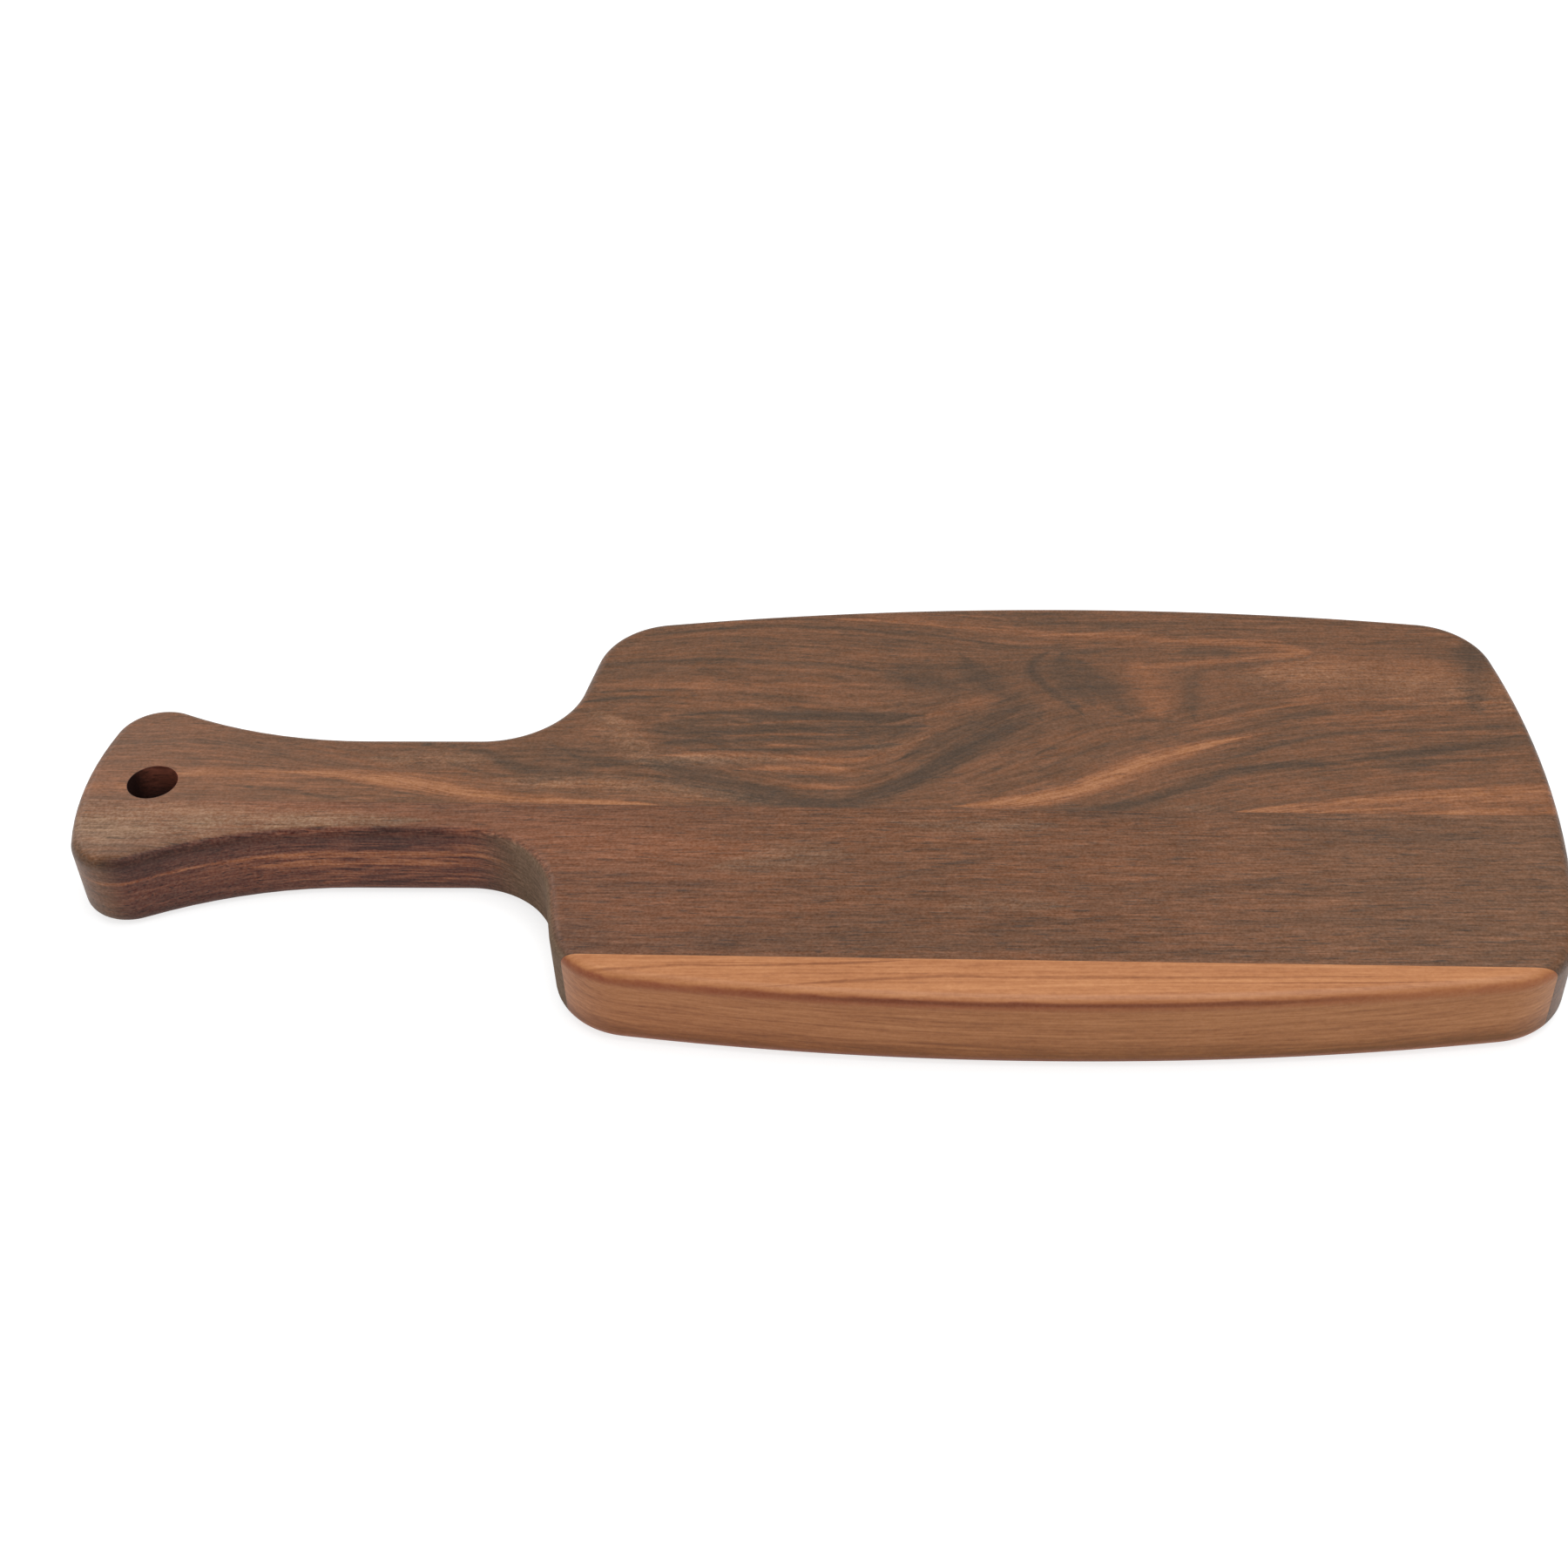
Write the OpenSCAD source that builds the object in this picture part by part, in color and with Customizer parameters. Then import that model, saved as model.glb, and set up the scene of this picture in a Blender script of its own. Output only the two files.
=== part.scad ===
// Paddle serving board, edge-glued from three walnut staves.
// The staves are glued side by side into one blank. The blank is then sawn to the
// paddle outline, drilled at the handle's end for hanging, and rounded over along
// every edge. +X runs from the handle to the paddle, +Z is up, and the origin is
// the middle of the underside.

/* [Board] */
// Length over all, from the handle's end to the paddle's end
board_l = 373; // [355:1:410]
// Width of the paddle at its widest point
board_w = 153; // [138:1:180]
// Thickness of the board
board_t = 21.4; // [16:0.2:30]
// Radius of the round-over along the top and bottom edges
edge_r = 3.2; // [1:0.2:6]

/* [Handle] */
// Length of the handle, from its end to where the neck begins to widen
handle_l = 99.5; // [85:0.5:115]
// Width of the handle at its flared end
handle_end_w = 61; // [52:0.5:72]
// Width of the handle at its slim neck
neck_w = 36.8; // [28:0.2:44]
// Radius of the bulged end of the handle
handle_end_r = 87; // [60:1:140]
// Radius of the handle's two end corners
handle_corner_r = 12.4; // [8:0.2:18]
// Radius of the hollow sides where the hand grips
grip_r = 120; // [90:1:145]

/* [Paddle] */
// Radius of the hollow corner between neck and shoulder
neck_fillet_r = 24.5; // [16:0.5:32]
// Angle of the shoulder to the board's long axis, in degrees
shoulder_angle = 79.5; // [70:0.5:88]
// Radius of the shoulder's outer corner
shoulder_corner_r = 20.8; // [12:0.2:28]
// Radius of the bulged long sides
side_bow_r = 750; // [550:10:1200]
// Distance from the paddle's end back to its widest point
widest_from_end = 124.5; // [100:0.5:150]
// Radius of the two corners at the paddle's end
end_corner_r = 21; // [12:0.5:32]
// Radius of the bulged end of the paddle
end_bow_r = 264; // [190:2:400]

/* [Hanging hole] */
// Diameter of the hole through the handle
hole_d = 12.7; // [8:0.1:13.2]
// Distance from the handle's end to the hole's centre
hole_from_end = 18.1; // [15:0.1:28]
// Distance of the hole's centre from the board's centre line, towards the edge stave
hole_offset = 0.2; // [-4:0.1:0.4]

/* [Staves] */
// Distance from the board's centre line to the joint of the wide and middle staves
wide_joint_offset = 9.3; // [9.1:0.1:16]
// Width of the middle stave, from joint to joint
middle_stave_w = 52.6; // [35:0.2:56]
// Angle of the joints to the board's long axis, in degrees
joint_skew = 0.8; // [0:0.1:0.9]
// Thickness of the glue film in each joint
glue_t = 0.1; // [0.06:0.02:0.3]

/* [Smoothness] */
// Largest gap between a curve of the outline and its facets
facet_gap = 0.06; // [0.05:0.01:0.2]
// Number of facets across the round-over
edge_steps = 4; // [2:1:5]
// Number of sides that stand for the hole's circle
hole_sides = 96; // [48:8:144]

/* [Hidden] */

// How far a cut runs past the surface that it cuts
overrun = 2;

handle_end_x = -board_l / 2;
paddle_end_x = board_l / 2;
neck_end_x = handle_end_x + handle_l;
widest_x = paddle_end_x - widest_from_end;
wide_joint_y = -wide_joint_offset;
edge_joint_y = wide_joint_y - middle_stave_w;

// The two fillets beside the shoulder shrink alike where the step between neck and
// paddle is too small for both
side_drop = pow(widest_x - neck_end_x, 2) / (2 * side_bow_r);
shoulder_step = board_w / 2 - side_drop - neck_w / 2;
fillets_step = (neck_fillet_r + shoulder_corner_r) * (1 - cos(shoulder_angle));
fillet_share = min(1, shoulder_step / fillets_step);
neck_fillet = neck_fillet_r * fillet_share;
shoulder_corner = shoulder_corner_r * fillet_share;

// Angle of the direction of a plane vector
function bearing(v) = atan2(v.y, v.x);

// Unit vector at an angle
function unit(a) = [cos(a), sin(a)];

// Centre of a circle inside two larger circles that it touches, on the left of the
// line from the first centre to the second
function inner_touch(c1, r1, c2, r2, r) =
    let (
        gap = norm(c2 - c1),
        along = (pow(r1 - r, 2) - pow(r2 - r, 2) + gap * gap) / (2 * gap),
        across = sqrt(pow(r1 - r, 2) - along * along),
        dir = (c2 - c1) / gap
    )
    c1 + along * dir + across * [-dir.y, dir.x];

// Centres of the arcs, from the handle's end to the paddle's end
handle_end_c = [handle_end_x + handle_end_r, 0];
handle_end_half = asin((handle_end_w / 2 - handle_corner_r) / (handle_end_r - handle_corner_r));
handle_corner_c = handle_end_c + (handle_end_r - handle_corner_r) * unit(180 - handle_end_half);
grip_y = neck_w / 2 + grip_r;
grip_rise = grip_y - handle_corner_c.y;
grip_run = sqrt(pow(grip_r + handle_corner_r, 2) - grip_rise * grip_rise);
grip_c = [handle_corner_c.x + grip_run, grip_y];
neck_fillet_c = [neck_end_x, neck_w / 2 + neck_fillet];
side_bow_c = [widest_x, board_w / 2 - side_bow_r];
end_bow_c = [paddle_end_x - end_bow_r, 0];
end_corner_c = inner_touch(end_bow_c, end_bow_r, side_bow_c, side_bow_r, end_corner_r);

// The shoulder's corner touches the straight shoulder and the bulged side
shoulder_start = neck_fillet_c + neck_fillet * unit(shoulder_angle - 90);
shoulder_offset = shoulder_start + shoulder_corner * unit(shoulder_angle - 90) - side_bow_c;
shoulder_along = shoulder_offset * unit(shoulder_angle);
shoulder_reach = pow(side_bow_r - shoulder_corner, 2) - shoulder_offset * shoulder_offset;
shoulder_l = sqrt(shoulder_along * shoulder_along + shoulder_reach) - shoulder_along;
shoulder_corner_c = side_bow_c + shoulder_offset + shoulder_l * unit(shoulder_angle);

// Angles at which one arc passes into the next
grip_angle = bearing(grip_c - handle_corner_c);
shoulder_out_angle = bearing(shoulder_corner_c - side_bow_c);
side_out_angle = bearing(end_corner_c - side_bow_c);
end_corner_out_angle = bearing(end_corner_c - end_bow_c);

// Number of facets along an arc of radius r that turns through an angle
function arc_steps(r, turn) = max(2, ceil(abs(turn) / (2 * acos(1 - facet_gap / r))));

// Points along an arc, each with its outward normal: side is 1 on a bulge and -1 in
// a hollow, and the last point is left to the next arc unless a straight follows
function arc(c, r, from, to, side = 1, last = 0) =
    let (steps = arc_steps(r, to - from))
    [for (i = [0:steps - 1 + last])
        let (dir = unit(from + (to - from) * i / steps))
        [c + r * dir, side * dir]];

// The outline's upper half, from the handle's end over the far side to the paddle's end
half_outline = concat(
    arc(handle_end_c, handle_end_r, 180, 180 - handle_end_half),
    arc(handle_corner_c, handle_corner_r, 180 - handle_end_half, grip_angle),
    arc(grip_c, grip_r, grip_angle + 180, 270, -1, 1),
    arc(neck_fillet_c, neck_fillet, 270, 270 + shoulder_angle, -1, 1),
    arc(shoulder_corner_c, shoulder_corner, 90 + shoulder_angle, shoulder_out_angle),
    arc(side_bow_c, side_bow_r, shoulder_out_angle, side_out_angle),
    arc(end_corner_c, end_corner_r, side_out_angle, end_corner_out_angle),
    arc(end_bow_c, end_bow_r, end_corner_out_angle, 0, 1, 1)
);

// The lower half mirrors it, without the two points on the centre line
half_count = len(half_outline);
outline = concat(
    half_outline,
    [for (i = [half_count - 2:-1:1])
        [for (v = half_outline[i]) [v.x, -v.y]]]
);
outline_count = len(outline);

// Inset and height of each ring of the blank, up the lower round-over and then the
// upper one
lower_levels = [for (k = [0:edge_steps])
    let (a = 90 * k / edge_steps)
    [edge_r * (1 - sin(a)), edge_r * (1 - cos(a))]];
levels = concat(
    lower_levels,
    [for (k = [edge_steps:-1:0]) [lower_levels[k][0], board_t - lower_levels[k][1]]]
);
level_count = len(levels);

// Directions along a joint and across it, towards the wide stave
joint_along = unit(-joint_skew);
joint_across = unit(90 - joint_skew);

// The outline drawn in by an inset, as plane points
function ring(inset) = [for (p = outline) p[0] - inset * p[1]];

// The two points, paddle end first, where a ring crosses the line that lies at a
// distance across from the board's centre line and runs along the joints
function crossings(points, across) =
    [for (i = [0:outline_count - 1])
        let (
            a = points[i],
            b = points[(i + 1) % outline_count],
            da = a * joint_across - across,
            db = b * joint_across - across
        )
        if ((da < 0) != (db < 0)) a + (b - a) * da / (da - db)];

// Where a point beyond a joint goes, so that every ring keeps as many points: in the
// handle's half straight across onto the joint, which keeps the flat faces simple
// beside the hollow neck, and elsewhere to the joint's nearest end
function seat(p, ends, across) =
    let (
        along = p * joint_along,
        from_end = along - ends[1] * joint_along
    )
    along > 0 ? ends[0]
        : from_end < handle_corner_r ? ends[1]
        : along * joint_along + across * joint_across;

// A ring cut back to one stave
function stave_ring(points, low, high) =
    let (
        low_ends = crossings(points, low),
        high_ends = crossings(points, high)
    )
    [for (p = points)
        let (across = p * joint_across)
        across < low ? seat(p, low_ends, low)
            : across > high ? seat(p, high_ends, high)
            : p];

// A face's corners without those that coincide with the one before
function corners(face, points) =
    let (count = len(face))
    [for (i = [0:count - 1])
        if (points[face[i]] != points[face[(i + count - 1) % count]])
        face[i]];

// The stave between two lines along the joints, at distances low and high from the
// board's centre line, with the board's outline and round-over. Its flat faces are
// strips between each point of the outline's upper half and its mirror image
module stave(low, high) {
    points = [for (level = levels)
        for (p = stave_ring(ring(level[0]), low, high))
            [p.x, p.y, level[1]]];
    sides = [for (j = [0:level_count - 2])
        for (i = [0:outline_count - 1])
            let (
                k = (i + 1) % outline_count,
                row = j * outline_count,
                next_row = row + outline_count
            )
            [row + i, row + k, next_row + k, next_row + i]];
    strips = [for (i = [0:half_count - 2])
        [i, i + 1, outline_count - i - 1, (outline_count - i) % outline_count]];
    top_row = (level_count - 1) * outline_count;
    top = [for (strip = strips) [for (i = strip) top_row + i]];
    bottom = [for (strip = strips) [for (i = [len(strip) - 1:-1:0]) strip[i]]];
    faces = [for (face = concat(sides, top, bottom))
        let (kept = corners(face, points))
        if (len(kept) > 2)
        kept];
    polyhedron(points = points, faces = faces);
}

// The drilled hole at the handle's end
module hanging_hole() {
    translate([handle_end_x + hole_from_end, -hole_offset, -overrun])
        cylinder(h = board_t + 2 * overrun, d = hole_d, $fn = hole_sides);
}

// The film of glue in the joint at a distance across from the board's centre line:
// the board's section there, as thick as the film
module joint_film(across) {
    ends = [for (level = levels)
        [for (p = crossings(ring(level[0]), across)) p * joint_along]];
    paddle_side = [for (i = [0:level_count - 1]) [max(ends[i]), levels[i][1]]];
    handle_side = [for (i = [level_count - 1:-1:0]) [min(ends[i]), levels[i][1]]];
    rotate([0, 0, -joint_skew])
        translate([0, across + glue_t / 2, 0])
            rotate([90, 0, 0])
                linear_extrude(glue_t)
                    polygon(concat(paddle_side, handle_side));
}

// Wide stave of figured walnut, with the far half of the handle and the hole
module wide_stave() {
    color([0.42, 0.27, 0.18])
        difference() {
            stave(wide_joint_y + glue_t / 2, board_w);
            hanging_hole();
        }
}

// Middle stave of plain dark walnut, with the near half of the handle
module middle_stave() {
    color([0.34, 0.22, 0.16])
        difference() {
            stave(edge_joint_y + glue_t / 2, wide_joint_y - glue_t / 2);
            hanging_hole();
        }
}

// Narrow edge stave of pale walnut
module edge_stave() {
    color([0.62, 0.40, 0.25])
        stave(-board_w, edge_joint_y - glue_t / 2);
}

// Film of dried glue in the joint of the wide and middle staves
module wide_joint_glue() {
    color([0.30, 0.19, 0.11])
        difference() {
            joint_film(wide_joint_y);
            hanging_hole();
        }
}

// Film of dried glue in the joint of the middle and edge staves
module edge_joint_glue() {
    color([0.30, 0.19, 0.11])
        joint_film(edge_joint_y);
}

wide_stave();
middle_stave();
edge_stave();
wide_joint_glue();
edge_joint_glue();
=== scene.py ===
"""A paddle serving board: three walnut staves, glued side by side, sawn, drilled and rounded over."""

import math
from functools import partial

import bpy
from mathutils import Matrix, Vector


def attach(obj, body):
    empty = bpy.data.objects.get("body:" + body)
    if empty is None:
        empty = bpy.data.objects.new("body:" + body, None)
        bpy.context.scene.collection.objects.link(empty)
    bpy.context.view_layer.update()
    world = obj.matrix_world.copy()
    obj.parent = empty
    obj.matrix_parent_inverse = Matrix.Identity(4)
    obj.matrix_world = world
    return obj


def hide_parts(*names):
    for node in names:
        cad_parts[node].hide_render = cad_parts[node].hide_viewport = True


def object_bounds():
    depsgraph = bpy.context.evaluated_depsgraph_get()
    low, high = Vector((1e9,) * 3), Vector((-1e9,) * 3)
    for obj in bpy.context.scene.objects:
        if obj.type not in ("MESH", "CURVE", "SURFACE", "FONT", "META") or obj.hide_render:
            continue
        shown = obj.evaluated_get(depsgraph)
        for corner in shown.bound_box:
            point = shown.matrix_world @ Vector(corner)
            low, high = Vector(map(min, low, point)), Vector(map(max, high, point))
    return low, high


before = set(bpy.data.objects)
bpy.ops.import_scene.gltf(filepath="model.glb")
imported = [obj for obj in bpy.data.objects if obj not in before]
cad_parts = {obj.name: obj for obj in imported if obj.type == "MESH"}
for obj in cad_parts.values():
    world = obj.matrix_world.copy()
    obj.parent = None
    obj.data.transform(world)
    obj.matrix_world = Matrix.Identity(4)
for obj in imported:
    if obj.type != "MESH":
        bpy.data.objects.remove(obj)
cad_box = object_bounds()

# Wide stave
# The widest of the three staves, of figured walnut with a cathedral figure. It is planed
# flat, glued to the middle stave, sawn to the paddle's outline with the rest of the
# blank, drilled at the handle's end, rounded over with a router and oiled.

MM = 0.001
board_low, board_high = (Vector(corner) / MM for corner in cad_box)
board_l = board_high.x - board_low.x
board_w = board_high.y - board_low.y
board_t = board_high.z - board_low.z
round_over_r = 3.2
handle_l = 99.5
handle_end_w = 61.0
neck_w = 36.8
handle_end_r = 87.0
handle_corner_r = 12.4
grip_r = 120.0
neck_fillet_r = 24.5
shoulder_angle = math.radians(79.5)
shoulder_corner_r = 20.8
side_bow_r = 750.0
widest_from_end = 124.5
end_corner_r = 21.0
end_bow_r = 264.0
hole_r = 6.35
hole_from_end = 18.1
hole_offset = 0.2
wide_joint_y = -9.3
edge_joint_y = -61.9
joint_skew = math.radians(0.8)
glue_t = 0.1


def math_node(operation, swapped=False):
    """A method of a value that works it out with another, in a Math node."""

    def method(value, other):
        return value.math(operation, first=other) if swapped else value.math(operation, other)

    return method


class Value:
    """A value on its way through a node tree. Sums on it add Math nodes to the tree."""

    def __init__(self, tree, socket):
        self.tree = tree
        self.socket = socket

    @classmethod
    def of(cls, tree, kind, settings=None, values=None, output=0):
        """Adds a node: its settings come first, then the values or links of its sockets."""
        node = tree.nodes.new(kind)
        for name, setting in (settings or {}).items():
            if name == "stops":
                ramp = node.color_ramp.elements
                while len(ramp) < len(setting):
                    ramp.new(1)
                for element, (place, colour) in zip(ramp, setting):
                    element.position = place
                    element.color = (*colour, 1)
            elif name == "points":
                curve = node.mapping.curves[0]
                while len(curve.points) < len(setting):
                    curve.points.new(0.5, 0.5)
                for point, place in zip(curve.points, setting):
                    point.location = place
                    point.handle_type = "AUTO_CLAMPED"
                node.mapping.extend = "HORIZONTAL"
                node.mapping.update()
            elif name == "choices":
                while len(node.index_switch_items) < setting:
                    node.index_switch_items.new()
            else:
                setattr(node, name, setting)
        for name, value in (values or {}).items():
            for one in value if isinstance(value, list) else [value]:
                if isinstance(one, Value):
                    tree.links.new(one.socket, node.inputs[name])
                else:
                    node.inputs[name].default_value = one
        return cls(tree, node.outputs[output])

    def math(self, operation, *others, first=None):
        values = [self, *others] if first is None else [first, self]
        return Value.of(self.tree, "ShaderNodeMath", {"operation": operation}, dict(enumerate(values)))

    def __abs__(self):
        return self.math("ABSOLUTE")

    __add__ = __radd__ = math_node("ADD")
    __sub__ = math_node("SUBTRACT")
    __rsub__ = math_node("SUBTRACT", swapped=True)
    __mul__ = __rmul__ = math_node("MULTIPLY")
    __truediv__ = math_node("DIVIDE")
    __mod__ = math_node("MODULO")
    __pow__ = math_node("POWER")
    __gt__ = math_node("GREATER_THAN")
    at_most = math_node("MINIMUM")
    at_least = math_node("MAXIMUM")

    def into(self, kind, name):
        """Links the value to a socket of a new node that ends the tree."""
        self.tree.links.new(self.socket, self.tree.nodes.new(kind).inputs[name])


def turned(angle):
    return Vector((math.cos(angle), math.sin(angle)))


def bearing(v):
    return math.atan2(v.y, v.x)


def inner_touch(c1, r1, c2, r2, r):
    """Centre of a circle of radius r inside two larger circles that it touches."""
    gap = (c2 - c1).length
    along = ((r1 - r) ** 2 - (r2 - r) ** 2 + gap**2) / (2 * gap)
    across = math.sqrt((r1 - r) ** 2 - along**2)
    toward = (c2 - c1) / gap
    return c1 + along * toward + across * Vector((-toward.y, toward.x))


def outline_arcs():
    """The outline's far half as arcs (centre, radius, from, to, side): side is -1 in a hollow."""
    half_turn = math.pi
    handle_end_x, paddle_end_x = -board_l / 2, board_l / 2
    neck_end_x = handle_end_x + handle_l
    widest_x = paddle_end_x - widest_from_end
    end_c = Vector((handle_end_x + handle_end_r, 0))
    end_half = math.asin((handle_end_w / 2 - handle_corner_r) / (handle_end_r - handle_corner_r))
    corner_c = end_c + (handle_end_r - handle_corner_r) * turned(half_turn - end_half)
    grip_y = neck_w / 2 + grip_r
    grip_run = math.sqrt((grip_r + handle_corner_r) ** 2 - (grip_y - corner_c.y) ** 2)
    grip_c = Vector((corner_c.x + grip_run, grip_y))
    grip_angle = bearing(grip_c - corner_c)
    fillet_c = Vector((neck_end_x, neck_w / 2 + neck_fillet_r))
    side_c = Vector((widest_x, board_w / 2 - side_bow_r))
    bow_c = Vector((paddle_end_x - end_bow_r, 0))
    end_corner_c = inner_touch(bow_c, end_bow_r, side_c, side_bow_r, end_corner_r)
    square_to = turned(shoulder_angle - half_turn / 2)
    offset = fillet_c + (neck_fillet_r + shoulder_corner_r) * square_to - side_c
    along = offset.dot(turned(shoulder_angle))
    reach = (side_bow_r - shoulder_corner_r) ** 2 - offset.dot(offset)
    shoulder_c = side_c + offset + (math.sqrt(along**2 + reach) - along) * turned(shoulder_angle)
    side_from = bearing(shoulder_c - side_c)
    side_to = bearing(end_corner_c - side_c)
    bow_from = bearing(end_corner_c - bow_c)
    return (
        (end_c, handle_end_r, half_turn, half_turn - end_half, 1),
        (corner_c, handle_corner_r, half_turn - end_half, grip_angle, 1),
        (grip_c, grip_r, grip_angle + half_turn, 1.5 * half_turn, -1),
        (fillet_c, neck_fillet_r, 1.5 * half_turn, 1.5 * half_turn + shoulder_angle, -1),
        (shoulder_c, shoulder_corner_r, half_turn / 2 + shoulder_angle, side_from, 1),
        (side_c, side_bow_r, side_from, side_to, 1),
        (end_corner_c, end_corner_r, side_to, bow_from, 1),
        (bow_c, end_bow_r, bow_from, 0, 1),
    )


def stave_tree():
    """The rule of a stave: the rounded-over paddle, drilled and cut down to one stave's width."""
    widest_step, widest_turn, round_over_steps, merge_gap, hole_sides = 6.0, 0.06, 8, 0.001, 160
    tree = bpy.data.node_groups.new("paddle stave", "GeometryNodeTree")
    numbers = ("Thickness", "Round-over radius", "Low joint", "High joint", "Hole radius",
               "Hole place along", "Hole place across", "Joint angle")
    for name in numbers:
        tree.interface.new_socket(name, in_out="INPUT", socket_type="NodeSocketFloat")
    tree.interface.new_socket("Finish", in_out="INPUT", socket_type="NodeSocketMaterial")
    tree.interface.new_socket("Stave", in_out="OUTPUT", socket_type="NodeSocketGeometry")
    entry = tree.nodes.new("NodeGroupInput")
    size = {socket.name: Value(tree, socket) for socket in entry.outputs if socket.name}

    of = partial(Value.of, tree)
    places, turns, firsts, first = [], [], [], 0
    for centre, radius, start, end, side in outline_arcs():
        steps = max(2, math.ceil(abs(end - start) / min(widest_turn, widest_step / radius)))
        spare = side < 0
        step = (end - start) / steps
        places.append((centre.x * MM, centre.y * MM, radius * MM))
        turns.append((start - first * step, step, side))
        firsts.append(first)
        first += steps + spare
    half_count = first
    count = 2 * half_count

    def chosen(arc, table):
        settings = {"data_type": "VECTOR", "choices": len(table)}
        values = {str(number): value for number, value in enumerate(table)}
        choice = of("GeometryNodeIndexSwitch", settings, {"Index": arc, **values})
        return [of("ShaderNodeSeparateXYZ", values={0: choice}, output=i) for i in range(3)]

    def on_outline(station, inset, height):
        """The place on the outline at a station, drawn in by an inset, as a point."""
        half_station = station.at_most(count - station)
        arc = sum(((half_station > place - 0.5) for place in firsts[1:]), of("ShaderNodeValue"))
        centre_x, centre_y, radius = chosen(arc, places)
        start, step, side = chosen(arc, turns)
        angle = start + half_station * step
        reach = radius - side * inset
        mirror = 1 - 2 * (station > half_count)
        x = centre_x + reach * angle.math("COSINE")
        y = mirror * (centre_y + reach * angle.math("SINE"))
        return of("ShaderNodeCombineXYZ", values={0: x, 1: y, 2: height})

    index = of("GeometryNodeInputIndex")
    rows = 2 * round_over_steps + 2
    column = (index / rows).math("FLOOR")
    row = index - column * rows
    level = row.at_most(rows - 1 - row)
    turn = level * (math.pi / 2 / round_over_steps)
    radius = size["Round-over radius"]
    low_height = radius * (1 - turn.math("COSINE"))
    upper = row > round_over_steps + 0.5
    height = low_height + upper * (size["Thickness"] - 2 * low_height)
    grid = of("GeometryNodeMeshGrid", values={"Vertices X": count + 1, "Vertices Y": rows})
    wall_place = on_outline(column % count, radius * (1 - turn.math("SINE")), height)
    wall = of("GeometryNodeSetPosition", values={"Geometry": grid, "Position": wall_place})
    wall = of("GeometryNodeFlipFaces", values={"Mesh": wall})
    disc = of("GeometryNodeMeshCircle", {"fill_type": "NGON"}, {"Vertices": count})
    under_place = on_outline(index, radius, 0.0)
    under = of("GeometryNodeSetPosition", values={"Geometry": disc, "Position": under_place})
    top_place = on_outline(index, radius, size["Thickness"])
    top = of("GeometryNodeSetPosition", values={"Geometry": disc, "Position": top_place})
    top = of("GeometryNodeFlipFaces", values={"Mesh": top})
    blank = of("GeometryNodeJoinGeometry", values={"Geometry": [wall, under, top]})
    blank = of("GeometryNodeMergeByDistance", values={"Geometry": blank, "Distance": merge_gap * MM})

    width = size["High joint"] - size["Low joint"]
    middle = (size["High joint"] + size["Low joint"]) / 2
    slab_size = of("ShaderNodeCombineXYZ", values={0: 2 * board_l * MM, 1: width, 2: 2 * size["Thickness"]})
    slab = of("GeometryNodeMeshCube", values={"Size": slab_size})
    slab_place = of("ShaderNodeCombineXYZ", values={1: middle, 2: size["Thickness"] / 2})
    slab = of("GeometryNodeTransform", values={"Geometry": slab, "Translation": slab_place})
    slab_turn = of("ShaderNodeCombineXYZ", values={2: -1 * size["Joint angle"]})
    slab = of("GeometryNodeTransform", values={"Geometry": slab, "Rotation": slab_turn})
    drill = of("GeometryNodeMeshCylinder", values={
        "Vertices": hole_sides, "Radius": size["Hole radius"], "Depth": 2 * size["Thickness"]})
    drill_place = of("ShaderNodeCombineXYZ", values={
        0: size["Hole place along"], 1: size["Hole place across"], 2: size["Thickness"] / 2})
    drill = of("GeometryNodeTransform", values={"Geometry": drill, "Translation": drill_place})
    cut = of("GeometryNodeMeshBoolean", {"operation": "INTERSECT", "solver": "EXACT"},
             {"Mesh 2": [blank, slab]})
    cut = of("GeometryNodeMeshBoolean", {"operation": "DIFFERENCE", "solver": "EXACT"},
             {"Mesh 1": cut, "Mesh 2": [drill]})

    sharp_from = math.radians(25)
    bend = of("GeometryNodeInputMeshEdgeAngle")
    smooth = of("GeometryNodeSetShadeSmooth", {"domain": "FACE"}, {"Geometry": cut, "Shade Smooth": True})
    smooth = of("GeometryNodeSetShadeSmooth", {"domain": "EDGE"}, {
        "Geometry": smooth, "Selection": bend > sharp_from, "Shade Smooth": False})
    made = of("GeometryNodeRealizeInstances", values={"Geometry": smooth})
    made = of("GeometryNodeSetMaterial", values={"Geometry": made, "Material": size["Finish"]})
    made.into("NodeGroupOutput", 0)
    return tree


stave_rule = stave_tree()


def make_stave(node, finish, low, high):
    """Makes the stave, or the film of glue, between two lines along the joints."""
    rough = bpy.data.objects.new("rough " + node, bpy.data.meshes.new("rough " + node))
    bpy.context.scene.collection.objects.link(rough)
    rule = rough.modifiers.new("stave rule", "NODES")
    rule.node_group = stave_rule
    identifiers = {i.name: i.identifier for i in stave_rule.interface.items_tree if i.in_out == "INPUT"}
    hole_x = -board_l / 2 + hole_from_end
    sizes = {"Thickness": board_t * MM, "Round-over radius": round_over_r * MM, "Low joint": low * MM,
             "High joint": high * MM, "Hole radius": hole_r * MM, "Hole place along": hole_x * MM,
             "Hole place across": -hole_offset * MM, "Joint angle": joint_skew, "Finish": finish}
    for name, value in sizes.items():
        rule[identifiers[name]] = value
    even = rough.modifiers.new("even shading", "WEIGHTED_NORMAL")
    even.keep_sharp = True
    shaped = rough.evaluated_get(bpy.context.evaluated_depsgraph_get())
    mesh = bpy.data.meshes.new_from_object(shaped)
    mesh.name = node
    bpy.data.objects.remove(rough)
    piece = bpy.data.objects.new(node + "_wood" if "stave" in node else node + "_film", mesh)
    bpy.context.scene.collection.objects.link(piece)
    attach(piece, "root")
    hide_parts(node)
    return piece


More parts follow.
